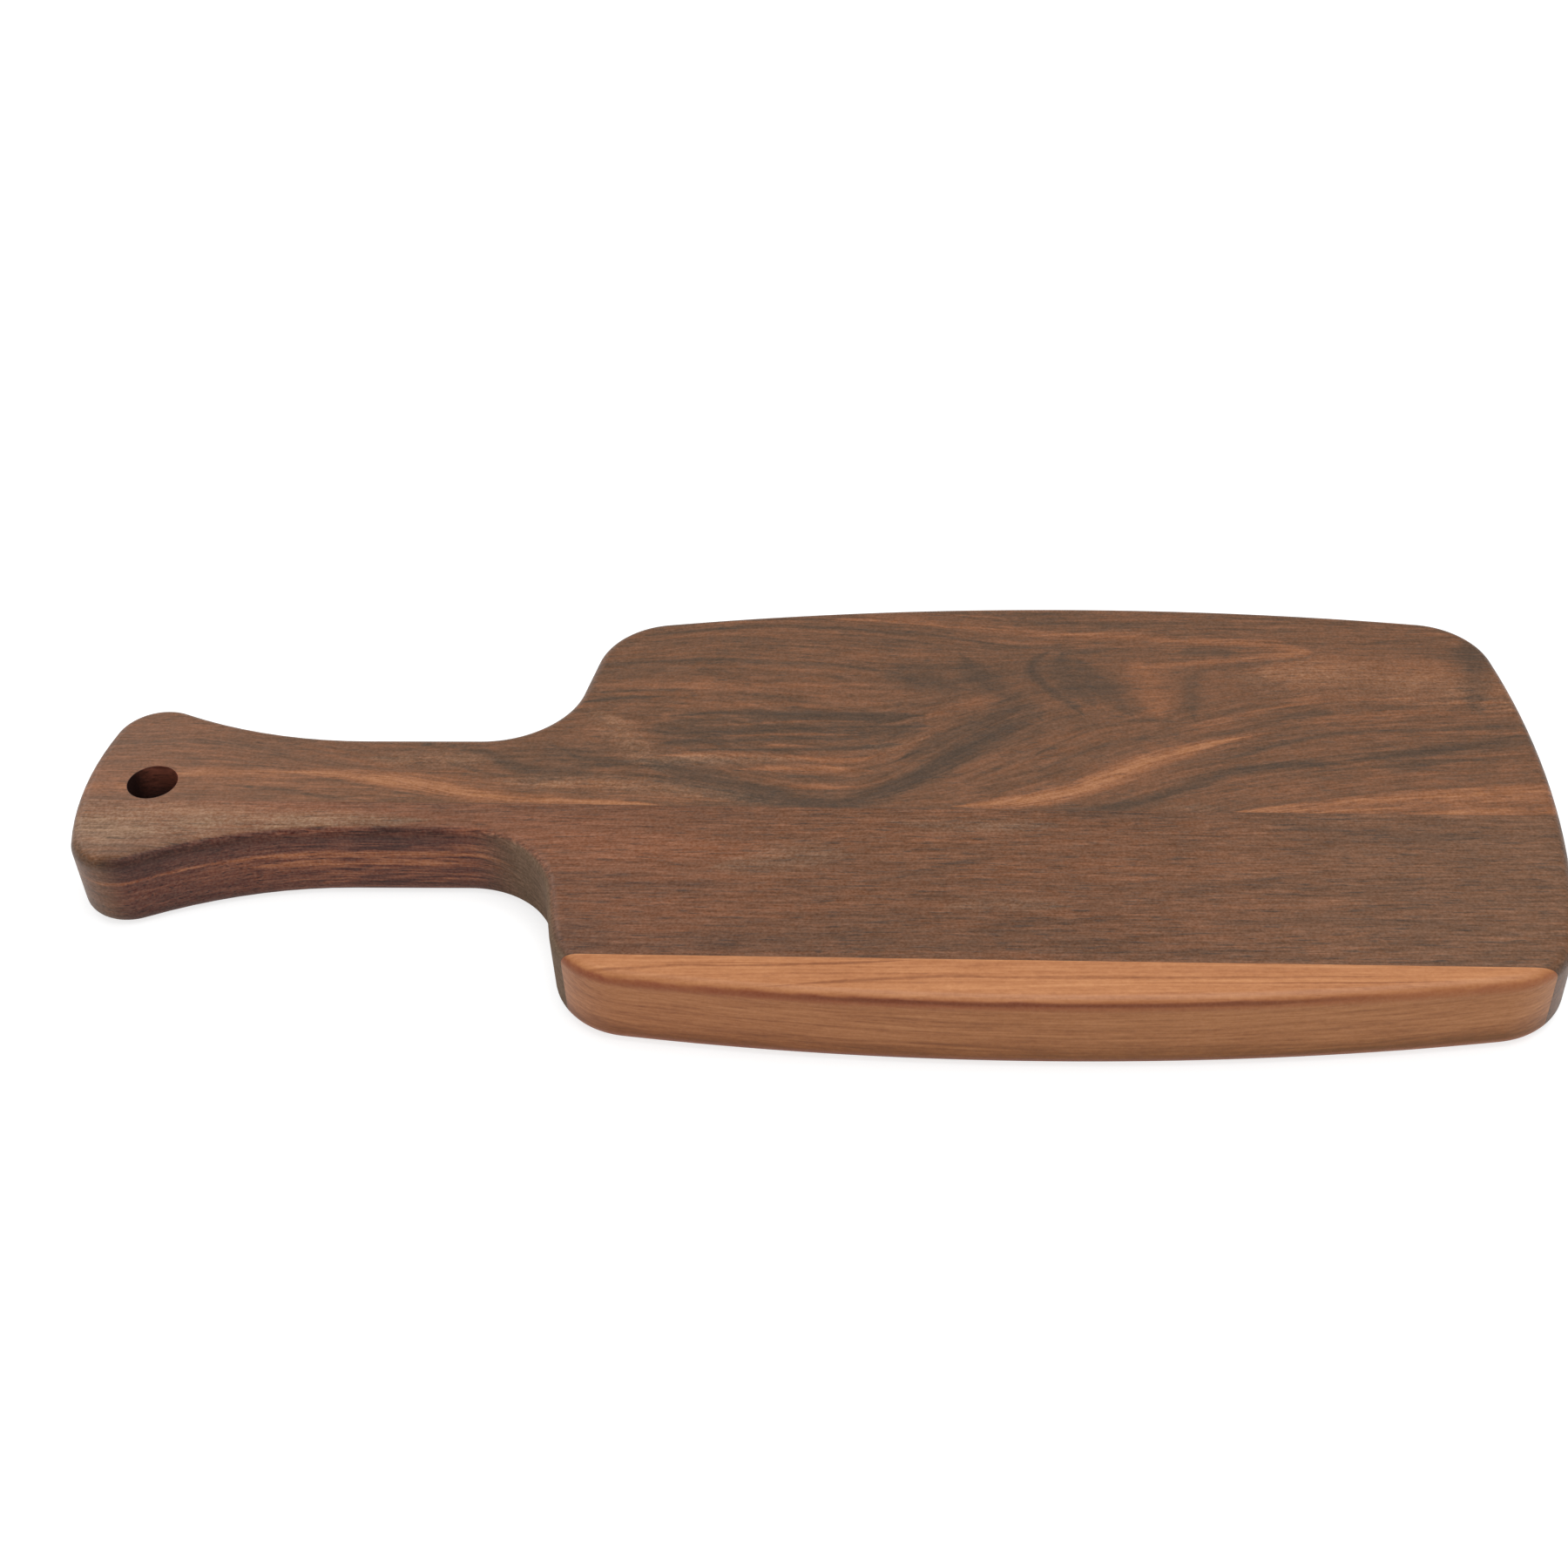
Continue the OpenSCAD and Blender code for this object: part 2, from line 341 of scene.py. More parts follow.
class Wood:
    """A walnut finish in the making, on places in millimetres. Depth is counted from the nearer face."""

    reach = 420.0

    def __init__(self, name, seed):
        self.material = bpy.data.materials.new(name)
        self.material.use_nodes = True
        self.tree = self.material.node_tree
        self.tree.nodes.clear()
        self.of = partial(Value.of, self.tree)
        self.seed = seed
        place = self.of("ShaderNodeTexCoord", output=3)
        place = self.of("ShaderNodeVectorMath", {"operation": "SCALE"}, {0: place, 3: 1 / MM})
        self.x, self.y, self.z = (
            self.of("ShaderNodeSeparateXYZ", values={0: place}, output=i) for i in range(3))
        self.depth = self.z.at_most(board_t - self.z)

    def noise(self, x, y, z, detail=2.0, roughness=0.5, shift=0.0):
        """Noise in -1 to 1 of a place that is already in units of its grain."""
        place = self.of("ShaderNodeCombineXYZ", values={0: x + self.seed + shift, 1: y, 2: z})
        settings = {"noise_dimensions": "3D", "normalize": True}
        values = {"Vector": place, "Scale": 1.0, "Detail": detail, "Roughness": roughness}
        return 2 * self.of("ShaderNodeTexNoise", settings, values) - 1

    def ramp(self, value, low, high, smooth=True):
        """0 where value is below low, 1 above high."""
        settings = {"interpolation_type": "SMOOTHSTEP" if smooth else "LINEAR"}
        return self.of("ShaderNodeMapRange", settings, {"Value": value, "From Min": low, "From Max": high})

    def curve(self, along, points):
        """A drawn line: its height at each place along, through given points, in millimetres."""
        drawn = [(a / self.reach + 0.5, h / self.reach + 0.5) for a, h in points]
        height = self.of("ShaderNodeFloatCurve", {"points": drawn}, {"Value": along / self.reach + 0.5})
        return (height - 0.5) * self.reach

    def streak(self, along, across, path):
        """How much a place lies in a streak drawn as (along, across, half width)."""
        (first, _, first_half), (last, _, last_half) = path[0], path[-1]
        middle = self.curve(along, [(a, c) for a, c, half in path])
        halves = [(first - 4, first_half), *((a, half) for a, c, half in path), (last + 4, last_half)]
        half = self.curve(along, halves).at_least(0.02)
        aside = abs(across - middle) + 0.04
        values = {"Value": aside, "From Min": 0.0, "From Max": half, "To Min": 1.0, "To Max": 0.0}
        return self.of("ShaderNodeMapRange", {"interpolation_type": "SMOOTHSTEP"}, values)

    def streaks(self, along, across, drawn):
        """The strongest of several streaks, each with a strength."""
        most = None
        for strength, path in drawn:
            one = strength * self.streak(along, across, path)
            most = one if most is None else most.at_least(one)
        return most

    def shades(self, along, across, drawn):
        """Broad soft shades that add up. A strength below zero darkens."""
        return sum((strength * self.streak(along, across, path) for strength, path in drawn[1:]),
                   drawn[0][0] * self.streak(along, across, drawn[0][1]))

    def mix(self, share, a, b):
        return self.of("ShaderNodeMix", {"data_type": "RGBA"}, {0: share, 6: a, 7: b}, output=2)

    def ramped(self, tone, colours):
        """A colour from a tone, through colours that lie a quarter of it apart."""
        last = len(colours) - 1
        stops = [(step / last, colour) for step, colour in enumerate(colours)]
        return self.of("ShaderNodeValToRGB", {"stops": stops}, {0: tone * (4 / last)})

    def grained(self, colour, tone, texture, tint):
        """The colour, made lighter and darker by the fine grain, the more so where the wood is light."""
        share = texture * (0.4 + 0.8 * tone)
        return self.of("ShaderNodeVectorMath", {"operation": "MULTIPLY_ADD"}, {0: share, 1: tint, 2: colour})

    def rounded(self):
        """How much a place lies on the rounded-over edge, which is drawn darker."""
        return self.ramp(self.depth, 0.3, 1.3) * self.ramp(self.depth, 4.6, 2.0)

    def side(self):
        """1 on the side faces, which the sawn curve bares, and 0 on the flat ones."""
        return self.ramp(self.depth, 1.0, 4.0)

    def grit(self, y):
        """The finest grain, which sanding leaves."""
        return self.noise(self.x / 0.7, y / 0.6, self.z / 0.6, detail=1, shift=65)

    def specks(self, y):
        """Small spots where a pore's bottom catches the light."""
        return self.ramp(self.noise(self.x / 0.7, y / 0.5, self.z / 0.5, detail=1, shift=90), 0.42, 0.7)

    def finish(self, colour, height, roughness):
        """Oiled satin wood: the pores and growth lines are slight hollows."""
        bump = self.of("ShaderNodeBump", values={"Strength": 0.35, "Distance": 0.12 * MM, "Height": height})
        values = {"Base Color": colour, "Roughness": roughness, "Normal": bump, "Specular IOR Level": 0.3}
        self.of("ShaderNodeBsdfPrincipled", values=values).into("ShaderNodeOutputMaterial", "Surface")
        return self.material


def rgb(r, g, b):
    return (r, g, b, 1.0)


# The figure's growth lines, drawn on the serving face from the handle to the paddle's end.
# They pinch where the cathedral's foot meets the joint and spread over the paddle.
flow_lines = (
    (0, ((-186, -7), (-60, -9), (60, -10.5), (186, -12.5))),
    (10, ((-186, 4), (-165, 3), (-115, 1.5), (-100, -2), (-88, -5.5), (-60, -8), (36, -8.6), (60, -3),
        (80, 8.5), (100, 16), (130, 23), (186, 28))),
    (22, ((-186, 15), (-168, 16), (-135, 11), (-110, 6), (-80, 6), (-45, 5), (-25, 0), (-8, -6), (5, -7.4),
        (15, -5), (27, 3), (40, 13), (55, 24), (70, 30), (100, 34), (130, 38), (186, 38))),
    (46, ((-186, 34), (-60, 49), (-22, 51), (0, 49.5), (20, 46), (40, 47), (60, 50), (100, 49), (131, 52),
        (186, 50))),
    (62, ((-186, 50), (-50, 61), (-25, 66), (10, 65), (40, 60), (60, 57), (100, 59), (131, 58.5),
        (186, 58))),
    (80, ((-186, 80), (-60, 76), (0, 80), (60, 80), (186, 76))),
)
# Streaks of the figure, each with its strength and its path: the place along the board, the
# place across it and the half width. In the tables named across, the path runs across.
dark_along = (
    (0.7, ((-24, 26.6, 0), (-14, 26.6, 2.6), (0, 26.2, 3.4), (14, 26, 3), (22, 26, 1.8), (28, 26, 0))),
    (0.45, ((-72, 16.5, 0), (-66, 14, 1.3), (-60, 10, 1.4), (-52, 8.6, 1.3), (-42, 8, 1.2), (-34, 6, 0))),
    (0.5, ((-46, 7, 0), (-36, 5, 4.8), (-28, 3, 6), (-20, -1, 6), (-12, -4, 5.6), (-5, -6.5, 5.2),
        (3, -7.5, 4.8), (10, -6.5, 5.4), (18, -2.5, 6.4), (27, 3.5, 8), (36, 11, 9), (45, 19, 9),
        (54, 26, 7), (62, 30, 0))),
    (0.62, ((20, 8, 0), (28, 14, 4.4), (36, 20, 6), (44, 25, 6), (52, 30, 5), (57, 33, 0))),
    (0.3, ((12, 46, 0), (22, 44, 5.2), (28, 42, 7.2), (34, 40, 5.2), (42, 38, 0))),
    (0.3, ((54, 47, 0), (60, 46, 7.8), (70, 43, 9.1), (78, 38, 8.5), (84, 32, 5.9), (88, 30, 0))),
    (0.55, ((40, 58, 0), (48, 57, 1.4), (58, 57.3, 1.7), (66, 56, 2.5), (72, 55.5, 2.9), (78, 56.5, 1.6),
        (82, 57, 0))),
    (0.6, ((95, 54.5, 0), (99, 55, 2.3), (104, 55.5, 3.1), (110, 55, 2.6), (114, 54.5, 0))),
    (0.45, ((98, 46, 0), (106, 47.5, 1.6), (114, 49, 1.6), (122, 50.5, 1.6), (130, 52.5, 1.3),
        (135, 54, 0))),
    (0.6, ((-52, 61.5, 0), (-46, 62.5, 1.3), (-40, 64, 1.6), (-32, 65, 1.3), (-24, 66.2, 1.7),
        (-14, 66.5, 1.2), (-5, 66.3, 1), (4, 65.7, 1.3), (14, 64.6, 1.7), (24, 63.6, 1.3), (34, 61.5, 1.2),
        (46, 58.5, 1), (58, 57.5, 0))),
    (0.55, ((-61, 49, 0), (-56, 49.3, 1.8), (-48, 50.2, 2.1), (-38, 50.8, 2), (-28, 51, 2), (-20, 50.5, 1.7),
        (-10, 50, 1.4), (2, 49.3, 1.3), (10, 48, 1.6), (18, 46, 1.7), (24, 45, 0))),
    (0.35, ((-62, 45, 0), (-58, 45.5, 5.2), (-50, 46, 5.9), (-42, 47, 3.2), (-32, 48, 0))),
    (0.9, ((-64, 32.4, 0), (-58, 33.6, 1.3), (-52, 34.6, 1.3), (-46, 35.2, 1.2), (-39, 35.6, 0))),
    (0.6, ((-62, 36.8, 0), (-54, 37.4, 0.9), (-46, 38, 0.9), (-40, 38.6, 0.9), (-32, 39, 0))),
    (0.85, ((-40, 27.2, 0), (-34, 27.6, 1), (-26, 28.3, 1.2), (-18, 28.3, 2.3), (-8, 27.8, 2.9),
        (2, 27.8, 3), (12, 27.6, 2.7), (20, 27.4, 2.2), (26, 27.2, 1.2), (31, 27, 0))),
    (0.6, ((-41, 24.6, 0), (-35, 25, 1), (-28, 25.2, 0.9), (-22, 25.4, 0))),
    (0.75, ((-43, 20, 0), (-37, 19.8, 1.2), (-30, 20.2, 1), (-22, 20.6, 0.9), (-12, 21.2, 0.9),
        (-4, 21.8, 0.9), (6, 22.6, 1), (16, 22.9, 1), (26, 22.9, 0.9), (34, 22.8, 0))),
    (0.7, ((-41, 15.5, 0), (-36, 16, 2.3), (-30, 16.6, 2.3), (-24, 16.8, 1.6), (-14, 17.4, 1.2),
        (-4, 17.8, 1.2), (6, 17.8, 1.2), (15, 17.4, 0))),
    (0.75, ((-36, 12.3, 0), (-29, 13, 0.8), (-20, 13.3, 0.9), (-10, 13.2, 1), (0, 13.4, 1.3), (8, 13.8, 1.6),
        (14, 14.4, 2), (19, 15, 1.8), (24, 15.5, 0))),
    (0.35, ((-46, 21, 0), (-38, 21, 7.8), (-20, 21, 10.4), (0, 21, 10.4), (18, 21, 9.1), (30, 21, 0))),
    (0.45, ((-11, 2.3, 0), (-4, 2.5, 1), (4, 2.6, 1), (13, 2.5, 0))),
    (0.45, ((-9, -3, 0), (0, -2.9, 0.9), (10, -3, 0.9), (18, -1, 0))),
    (0.55, ((58, -10.5, 0), (70, -9.6, 1.8), (78, -8.4, 2.9), (86, -5.6, 3.9), (94, -1.6, 4.2),
        (100, 1.4, 3.6), (106, 4.4, 3.2), (113, 6.4, 3.1), (121, 7.5, 2.6), (130, 8, 2), (139, 7.5, 0))),
    (0.6, ((102, 9, 0), (108, 11, 1.4), (114, 13.5, 1.6), (122, 16.5, 1.8), (130, 19, 1.6), (138, 20.5, 1.4),
        (150, 21.5, 1.2), (162, 22, 1), (172, 22.8, 1.2), (186, 24, 1.3))),
    (0.45, ((134, 9, 0), (142, 10.5, 2.2), (150, 11.5, 3.5), (158, 13.5, 3.2), (166, 15.2, 2.9),
        (176, 17, 3.1), (188, 18, 2.9))),
    (0.4, ((138, 7.5, 0), (147, 6.5, 1.8), (153, 7, 2.1), (160, 8.5, 1.3), (172, 10, 0))),
    (0.4, ((110, 22.5, 0), (118, 24.5, 2.3), (124, 27, 2.6), (130, 28.5, 2.3), (138, 29.5, 0))),
    (0.4, ((146, 59, 0), (156, 60.2, 1.2), (166, 60.6, 1.3), (177, 59.5, 0))),
    (0.3, ((46, 68, 0), (60, 68.5, 2.3), (72, 68.3, 2.2), (85, 67, 1.8), (97, 66, 0))),
    (0.45, ((76, 23.6, 0), (84, 25.5, 1.2), (90, 25.5, 1.3), (96, 25, 0))),
    (0.4, ((52, 7, 0), (58, 12, 1), (66, 18, 1.2), (74, 22.5, 1.2), (82, 24.5, 0))),
    (0.3, ((52, 1, 0), (62, 8, 1.2), (70, 13, 1.3), (80, 17.5, 1.3), (92, 18.6, 1.6), (100, 19.8, 1.6),
        (108, 21.5, 1.3), (117, 23, 0))),
    (0.35, ((-190, 15.4, 1.3), (-178, 15.8, 2), (-168, 16, 1.8), (-160, 15.8, 2.1), (-150, 14.8, 2.6),
        (-140, 12.2, 2.6), (-130, 9.6, 2.3), (-120, 7.6, 1.8), (-112, 5.6, 1.4), (-103, 4, 0))),
    (0.45, ((-141, 3.2, 0), (-132, 3, 0.9), (-124, 1.2, 1), (-116, -0.6, 1), (-108, -2.6, 1),
        (-100, -5, 0.9), (-93, -6.6, 0))),
    (0.45, ((-153, -1.4, 0), (-144, -1.8, 0.9), (-136, -2.4, 1.2), (-128, -4.6, 1.3), (-120, -6, 1.3),
        (-111, -6.8, 0))),
    (0.5, ((-99, 15, 0), (-90, 13.5, 2.3), (-84, 11, 3.6), (-80, 7.8, 3.9), (-74, 5.8, 3.6), (-64, 5.5, 3.1),
        (-54, 6.6, 2), (-46, 7.4, 0))),
    (0.4, ((-97, 9, 0), (-91, 6.5, 1.6), (-86, 4.5, 1.7), (-80, 3, 1.3), (-73, 2.5, 0))),
    (0.22, ((-82, 17, 0), (-72, 16.5, 5.9), (-64, 15, 7.2), (-56, 14, 5.9), (-49, 13, 0))),
)
dark_across = (
    (0.42, ((24, 60, 0), (31, 55, 7.5), (36, 50, 8.5), (42, 45, 8.5), (48, 41, 7), (56, 37, 0))),
    (0.6, ((26, 71, 0), (32, 67, 3.4), (38, 62, 3.6), (44, 58.4, 3.4), (48, 57, 3), (52, 58.6, 3),
        (57, 64, 0))),
    (0.42, ((30, 74, 0), (36, 70, 9), (44, 66, 10), (50, 65, 8), (56, 66, 0))),
    (0.42, ((25, 84, 0), (32, 80, 7), (37, 76, 9), (42, 73, 9), (47, 71, 7), (53, 69, 0))),
    (0.38, ((24, 99, 0), (31, 98.5, 3.2), (36, 99, 4.6), (40, 99, 4.8), (44, 100, 4.2), (46.5, 103, 2.8),
        (50, 108, 0))),
    (0.35, ((28, 171, 0), (35, 173, 5), (42, 175, 7), (50, 176, 8), (57, 176, 6), (61, 174, 0))),
)
light_along = (
    (1.25, ((34, -8.8, 0), (44, -8, 3), (54, -6.6, 4.2), (65, -3, 5.6), (74, 2.2, 6.6), (82, 6.6, 6.8),
        (90, 10.6, 5.6), (97, 13.8, 4), (105, 16.8, 2.2), (113, 19, 0))),
    (0.5, ((88, 11, 0), (98, 15, 3.2), (110, 18, 2.8), (122, 21.4, 0))),
    (1, ((110, -9.6, 0), (122, -8.2, 2.2), (136, -6.6, 3), (150, -4.8, 3.2), (168, -2.8, 3.4),
        (190, -1.4, 3.6))),
    (1, ((102, -10.4, 0), (114, -10.2, 2.2), (130, -10, 3.2), (150, -10.2, 3.2), (170, -9.8, 3.4),
        (190, -9.4, 3.6))),
    (0.5, ((118, -9, 0), (134, -8, 5), (150, -7, 6), (168, -6, 7), (190, -5.6, 8))),
    (0.75, ((-4, 69, 0), (10, 69.5, 1.8), (22, 68.8, 2), (32, 67.2, 2), (44, 65.5, 2.3), (56, 63.8, 2.4),
        (70, 62.5, 2.4), (84, 61.6, 2.3), (98, 60.8, 2.2), (110, 59.6, 2.3), (120, 58.4, 2.7),
        (127, 56.8, 3.5), (131, 55.6, 3), (134, 55, 0))),
    (0.7, ((82, 47.5, 0), (90, 48.6, 2.3), (98, 49.6, 2.2), (108, 50.8, 2.3), (116, 52.2, 2.6),
        (124, 54, 3.1), (130, 55.2, 2.7), (134, 55.2, 0))),
    (0.85, ((-44, 10.5, 0), (-34, 10.8, 1.1), (-24, 11, 2), (-14, 10.5, 2.6), (0, 9.8, 2.6), (10, 9.6, 2),
        (18, 11, 0))),
    (0.4, ((8, 10, 0), (18, 12, 1.6), (26, 16.5, 1.4), (33, 21.5, 0))),
    (0.85, ((-22, 5.5, 0), (-8, 5.8, 2.6), (2, 5.8, 2.8), (10, 5.4, 2), (17, 5, 0))),
    (0.85, ((-9, -1.2, 0), (-2, -1.4, 1.7), (4, -1.5, 1.7), (13, -1, 0))),
    (0.85, ((-26, 19, 0), (-18, 19.2, 0.9), (-6, 19.6, 1), (4, 19.6, 1), (14, 19.4, 0))),
    (0.6, ((-34, 23.2, 0), (-26, 23.3, 0.8), (-12, 24.4, 0.9), (4, 25, 0.8), (18, 25, 0))),
    (0.6, ((-17, 14.6, 0), (-8, 15, 0.9), (1, 15, 0))),
    (0.3, ((-44, 31, 0), (-25, 32, 2.4), (-5, 32.5, 2.4), (15, 32, 2.2), (27, 31, 0))),
    (0.25, ((-44, 40, 0), (-25, 41, 5.4), (-5, 41, 5.4), (15, 40, 0))),
    (0.4, ((26, 26, 0), (34, 29, 3.8), (40, 32, 4.1), (46, 34, 3.1), (51, 35, 0))),
    (0.6, ((93, 22, 0), (103, 24.5, 2.3), (112, 28, 2.6), (120, 31, 2.8), (128, 33, 3.1), (136, 34, 2.8),
        (146, 34.3, 2.2), (160, 34, 1.8), (175, 33.5, 1.4), (188, 33, 0))),
    (0.35, ((123, 24, 0), (135, 26, 2.6), (148, 28, 2.6), (160, 28.5, 2.2), (172, 28, 1.8), (188, 28, 1.4))),
    (0.45, ((138, 17.5, 0), (152, 19, 1.5), (166, 20.3, 1.5), (188, 21.2, 1.5))),
    (0.35, ((158, 10.5, 0), (168, 11.6, 1.1), (188, 13, 1.2))),
    (0.45, ((159, 63, 0), (166, 62.8, 2), (172, 62, 1.6), (177, 61, 0))),
    (0.5, ((-172, 3.5, 0), (-160, 4, 2.4), (-150, 4, 2.4), (-140, 3.8, 2.4), (-128, 3.2, 2.4),
        (-118, 2.4, 0))),
    (1.25, ((-138, 4.4, 0), (-128, 3.6, 2.6), (-120, 2.8, 3.8), (-110, 1, 4.8), (-100, -1, 5.4),
        (-92, -3, 5.2), (-84, -5.2, 4.2), (-72, -6.6, 3.2), (-58, -7.4, 2.6), (-44, -8.2, 1.6),
        (-34, -8.8, 0))),
    (0.7, ((-194, -3.4, 4), (-184, -3.2, 4), (-174, -2.6, 3.4), (-160, -2, 0))),
    (0.3, ((-74, -1, 0), (-60, 0, 4.5), (-48, -1, 5.1), (-36, -3, 5.1), (-26, -5.5, 3.8), (-15, -7.5, 0))),
)
light_across = (
    (0.3, ((24, 90, 0), (30, 90, 8), (36, 89, 10), (42, 88, 11), (47, 87, 10), (50, 86, 6), (54, 86, 0))),
    (0.15, ((6, -43, 0), (11, -45, 6), (16, -47, 7.5), (21, -50, 8), (26, -55, 7), (31, -61, 0))),
)
# Broad soft shades, with what they add to the tone. Most belong to the figure; the one along the handle is
# partly a painted sheen, and the one at the far right is painted light.
wide_shades = (
    (0.09, ((120, -5, 0), (145, -5.5, 4), (170, -6.5, 4), (190, -7, 4))),
    (-0.10, ((-48, 21, 0), (-38, 21, 7), (-20, 21, 10), (0, 21, 10), (18, 21, 9), (32, 21, 0))),
    (0.05, ((-62, 38, 0), (-50, 38, 10), (-30, 39, 10), (0, 39, 10), (16, 38, 8), (30, 36, 0))),
    (-0.12, ((10, -8, 0), (24, 0, 8), (38, 9, 11), (54, 18, 11), (70, 25, 8), (84, 29, 0))),
    (-0.10, ((14, 44, 0), (26, 44, 12), (42, 46, 14), (58, 46, 13), (76, 42, 10), (88, 38, 0))),
    (0.05, ((96, 46, 0), (110, 46, 10), (140, 46, 14), (160, 47, 13), (172, 48, 0))),
    (-0.14, ((-50, -1, 0), (-32, 1, 6), (-16, -4, 6.5), (0, -7.5, 6), (14, -6, 6), (26, 2, 7), (40, 15, 7),
        (54, 26, 0))),
    (0.12, ((-75, -2, 0), (-60, -1, 5), (-46, -2, 6), (-34, -4, 5), (-22, -7, 0))),
    (-0.12, ((-86, 12, 0), (-76, 11, 6), (-62, 11, 6), (-50, 9, 4), (-40, 8, 0))),
    (0.10, ((40, -8, 0), (54, -5, 5), (70, 1, 7.5), (86, 9, 8), (100, 15, 6), (116, 20, 0))),
    (-0.10, ((62, -10, 0), (80, -7, 5), (96, 0, 6), (112, 6, 6), (130, 9, 5), (160, 12, 6), (190, 16, 6))),
    (0.07, ((108, -2, 0), (130, 1, 5), (156, 3, 6), (190, 6, 6))),
    (-0.03, ((-64, 58, 0), (-40, 59, 7), (-10, 59, 8), (20, 58, 7), (44, 54, 0))),
    (-0.06, ((-70, 66, 0), (-40, 67, 4), (0, 69, 4), (30, 68, 0))),
    (0.10, ((-190, 2, 9), (-160, 2, 8), (-140, 1, 5), (-120, 2, 0))),
    # Lighter along the handle: partly the wood, partly a painted sheen.
    (0.12, ((-190, 0, 40), (-120, 0, 40), (-90, 0, 30), (-70, 0, 0))),
    # Painted light: the far right made lighter where the lamp's light falls off.
    (0.27, ((112, 46, 0), (134, 46, 17), (152, 44, 17), (168, 42, 14), (190, 36, 12))),
    (0.06, ((-190, 24, 7), (-165, 23, 7), (-140, 19, 0))),
)
wide_shades_across = (
    (-0.16, ((26, 173, 0), (35, 174, 6), (45, 175, 9), (56, 175, 8), (62, 174, 0))),
    (0.08, ((6, -46, 0), (13, -46, 6), (20, -49, 7), (27, -55, 6), (33, -62, 0))),
    (0.10, ((25, 91, 0), (31, 90, 8), (38, 88, 10), (45, 86, 9), (52, 86, 0))),
)
# Where the grain turns up to the surface it looks dusty: greyer, with fine light specks.
dusty_across = (
    (0.6, ((2, -36, 0), (8, -42, 9), (14, -46, 10), (20, -50, 10), (26, -55, 9), (31, -61, 0))),
)
dusty_along = (
    (0.6, ((-84, 1, 0), (-70, 0, 5), (-56, 0, 5.5), (-44, -1, 6), (-30, -3, 6), (-16, -6, 4), (-6, -8, 0))),
    (0.7, ((-50, 9, 0), (-40, 8.5, 4), (-26, 9, 4), (-12, 9.5, 2.5), (0, 9.5, 0))),
    (0.6, ((-118, 10, 0), (-104, 9, 6), (-90, 9, 6), (-78, 9, 0))),
    (0.5, ((84, -9, 0), (96, -9, 2.5), (106, -9, 0))),
    (0.4, ((8, 14, 0), (18, 14, 4), (26, 17, 3), (34, 22, 0))),
    (0.4, ((104, 44, 0), (124, 44, 15), (150, 42, 17), (176, 38, 17), (200, 36, 17))),
)
walnut_tones = ((0.068, 0.039, 0.022), (0.104, 0.052, 0.026), (0.155, 0.067, 0.030), (0.215, 0.084, 0.035),
                (0.29, 0.110, 0.043), (0.37, 0.150, 0.060))
dusty_tones = ((0.085, 0.054, 0.034), (0.125, 0.075, 0.045), (0.172, 0.096, 0.054), (0.225, 0.120, 0.064),
               (0.29, 0.158, 0.084), (0.36, 0.205, 0.115))
speck_colour = rgb(0.42, 0.27, 0.17)
# Painted shade and painted light for the bored wall of the hanging hole.
bore_painted_shade, bore_painted_light = rgb(0.026, 0.011, 0.009), rgb(0.38, 0.118, 0.072)


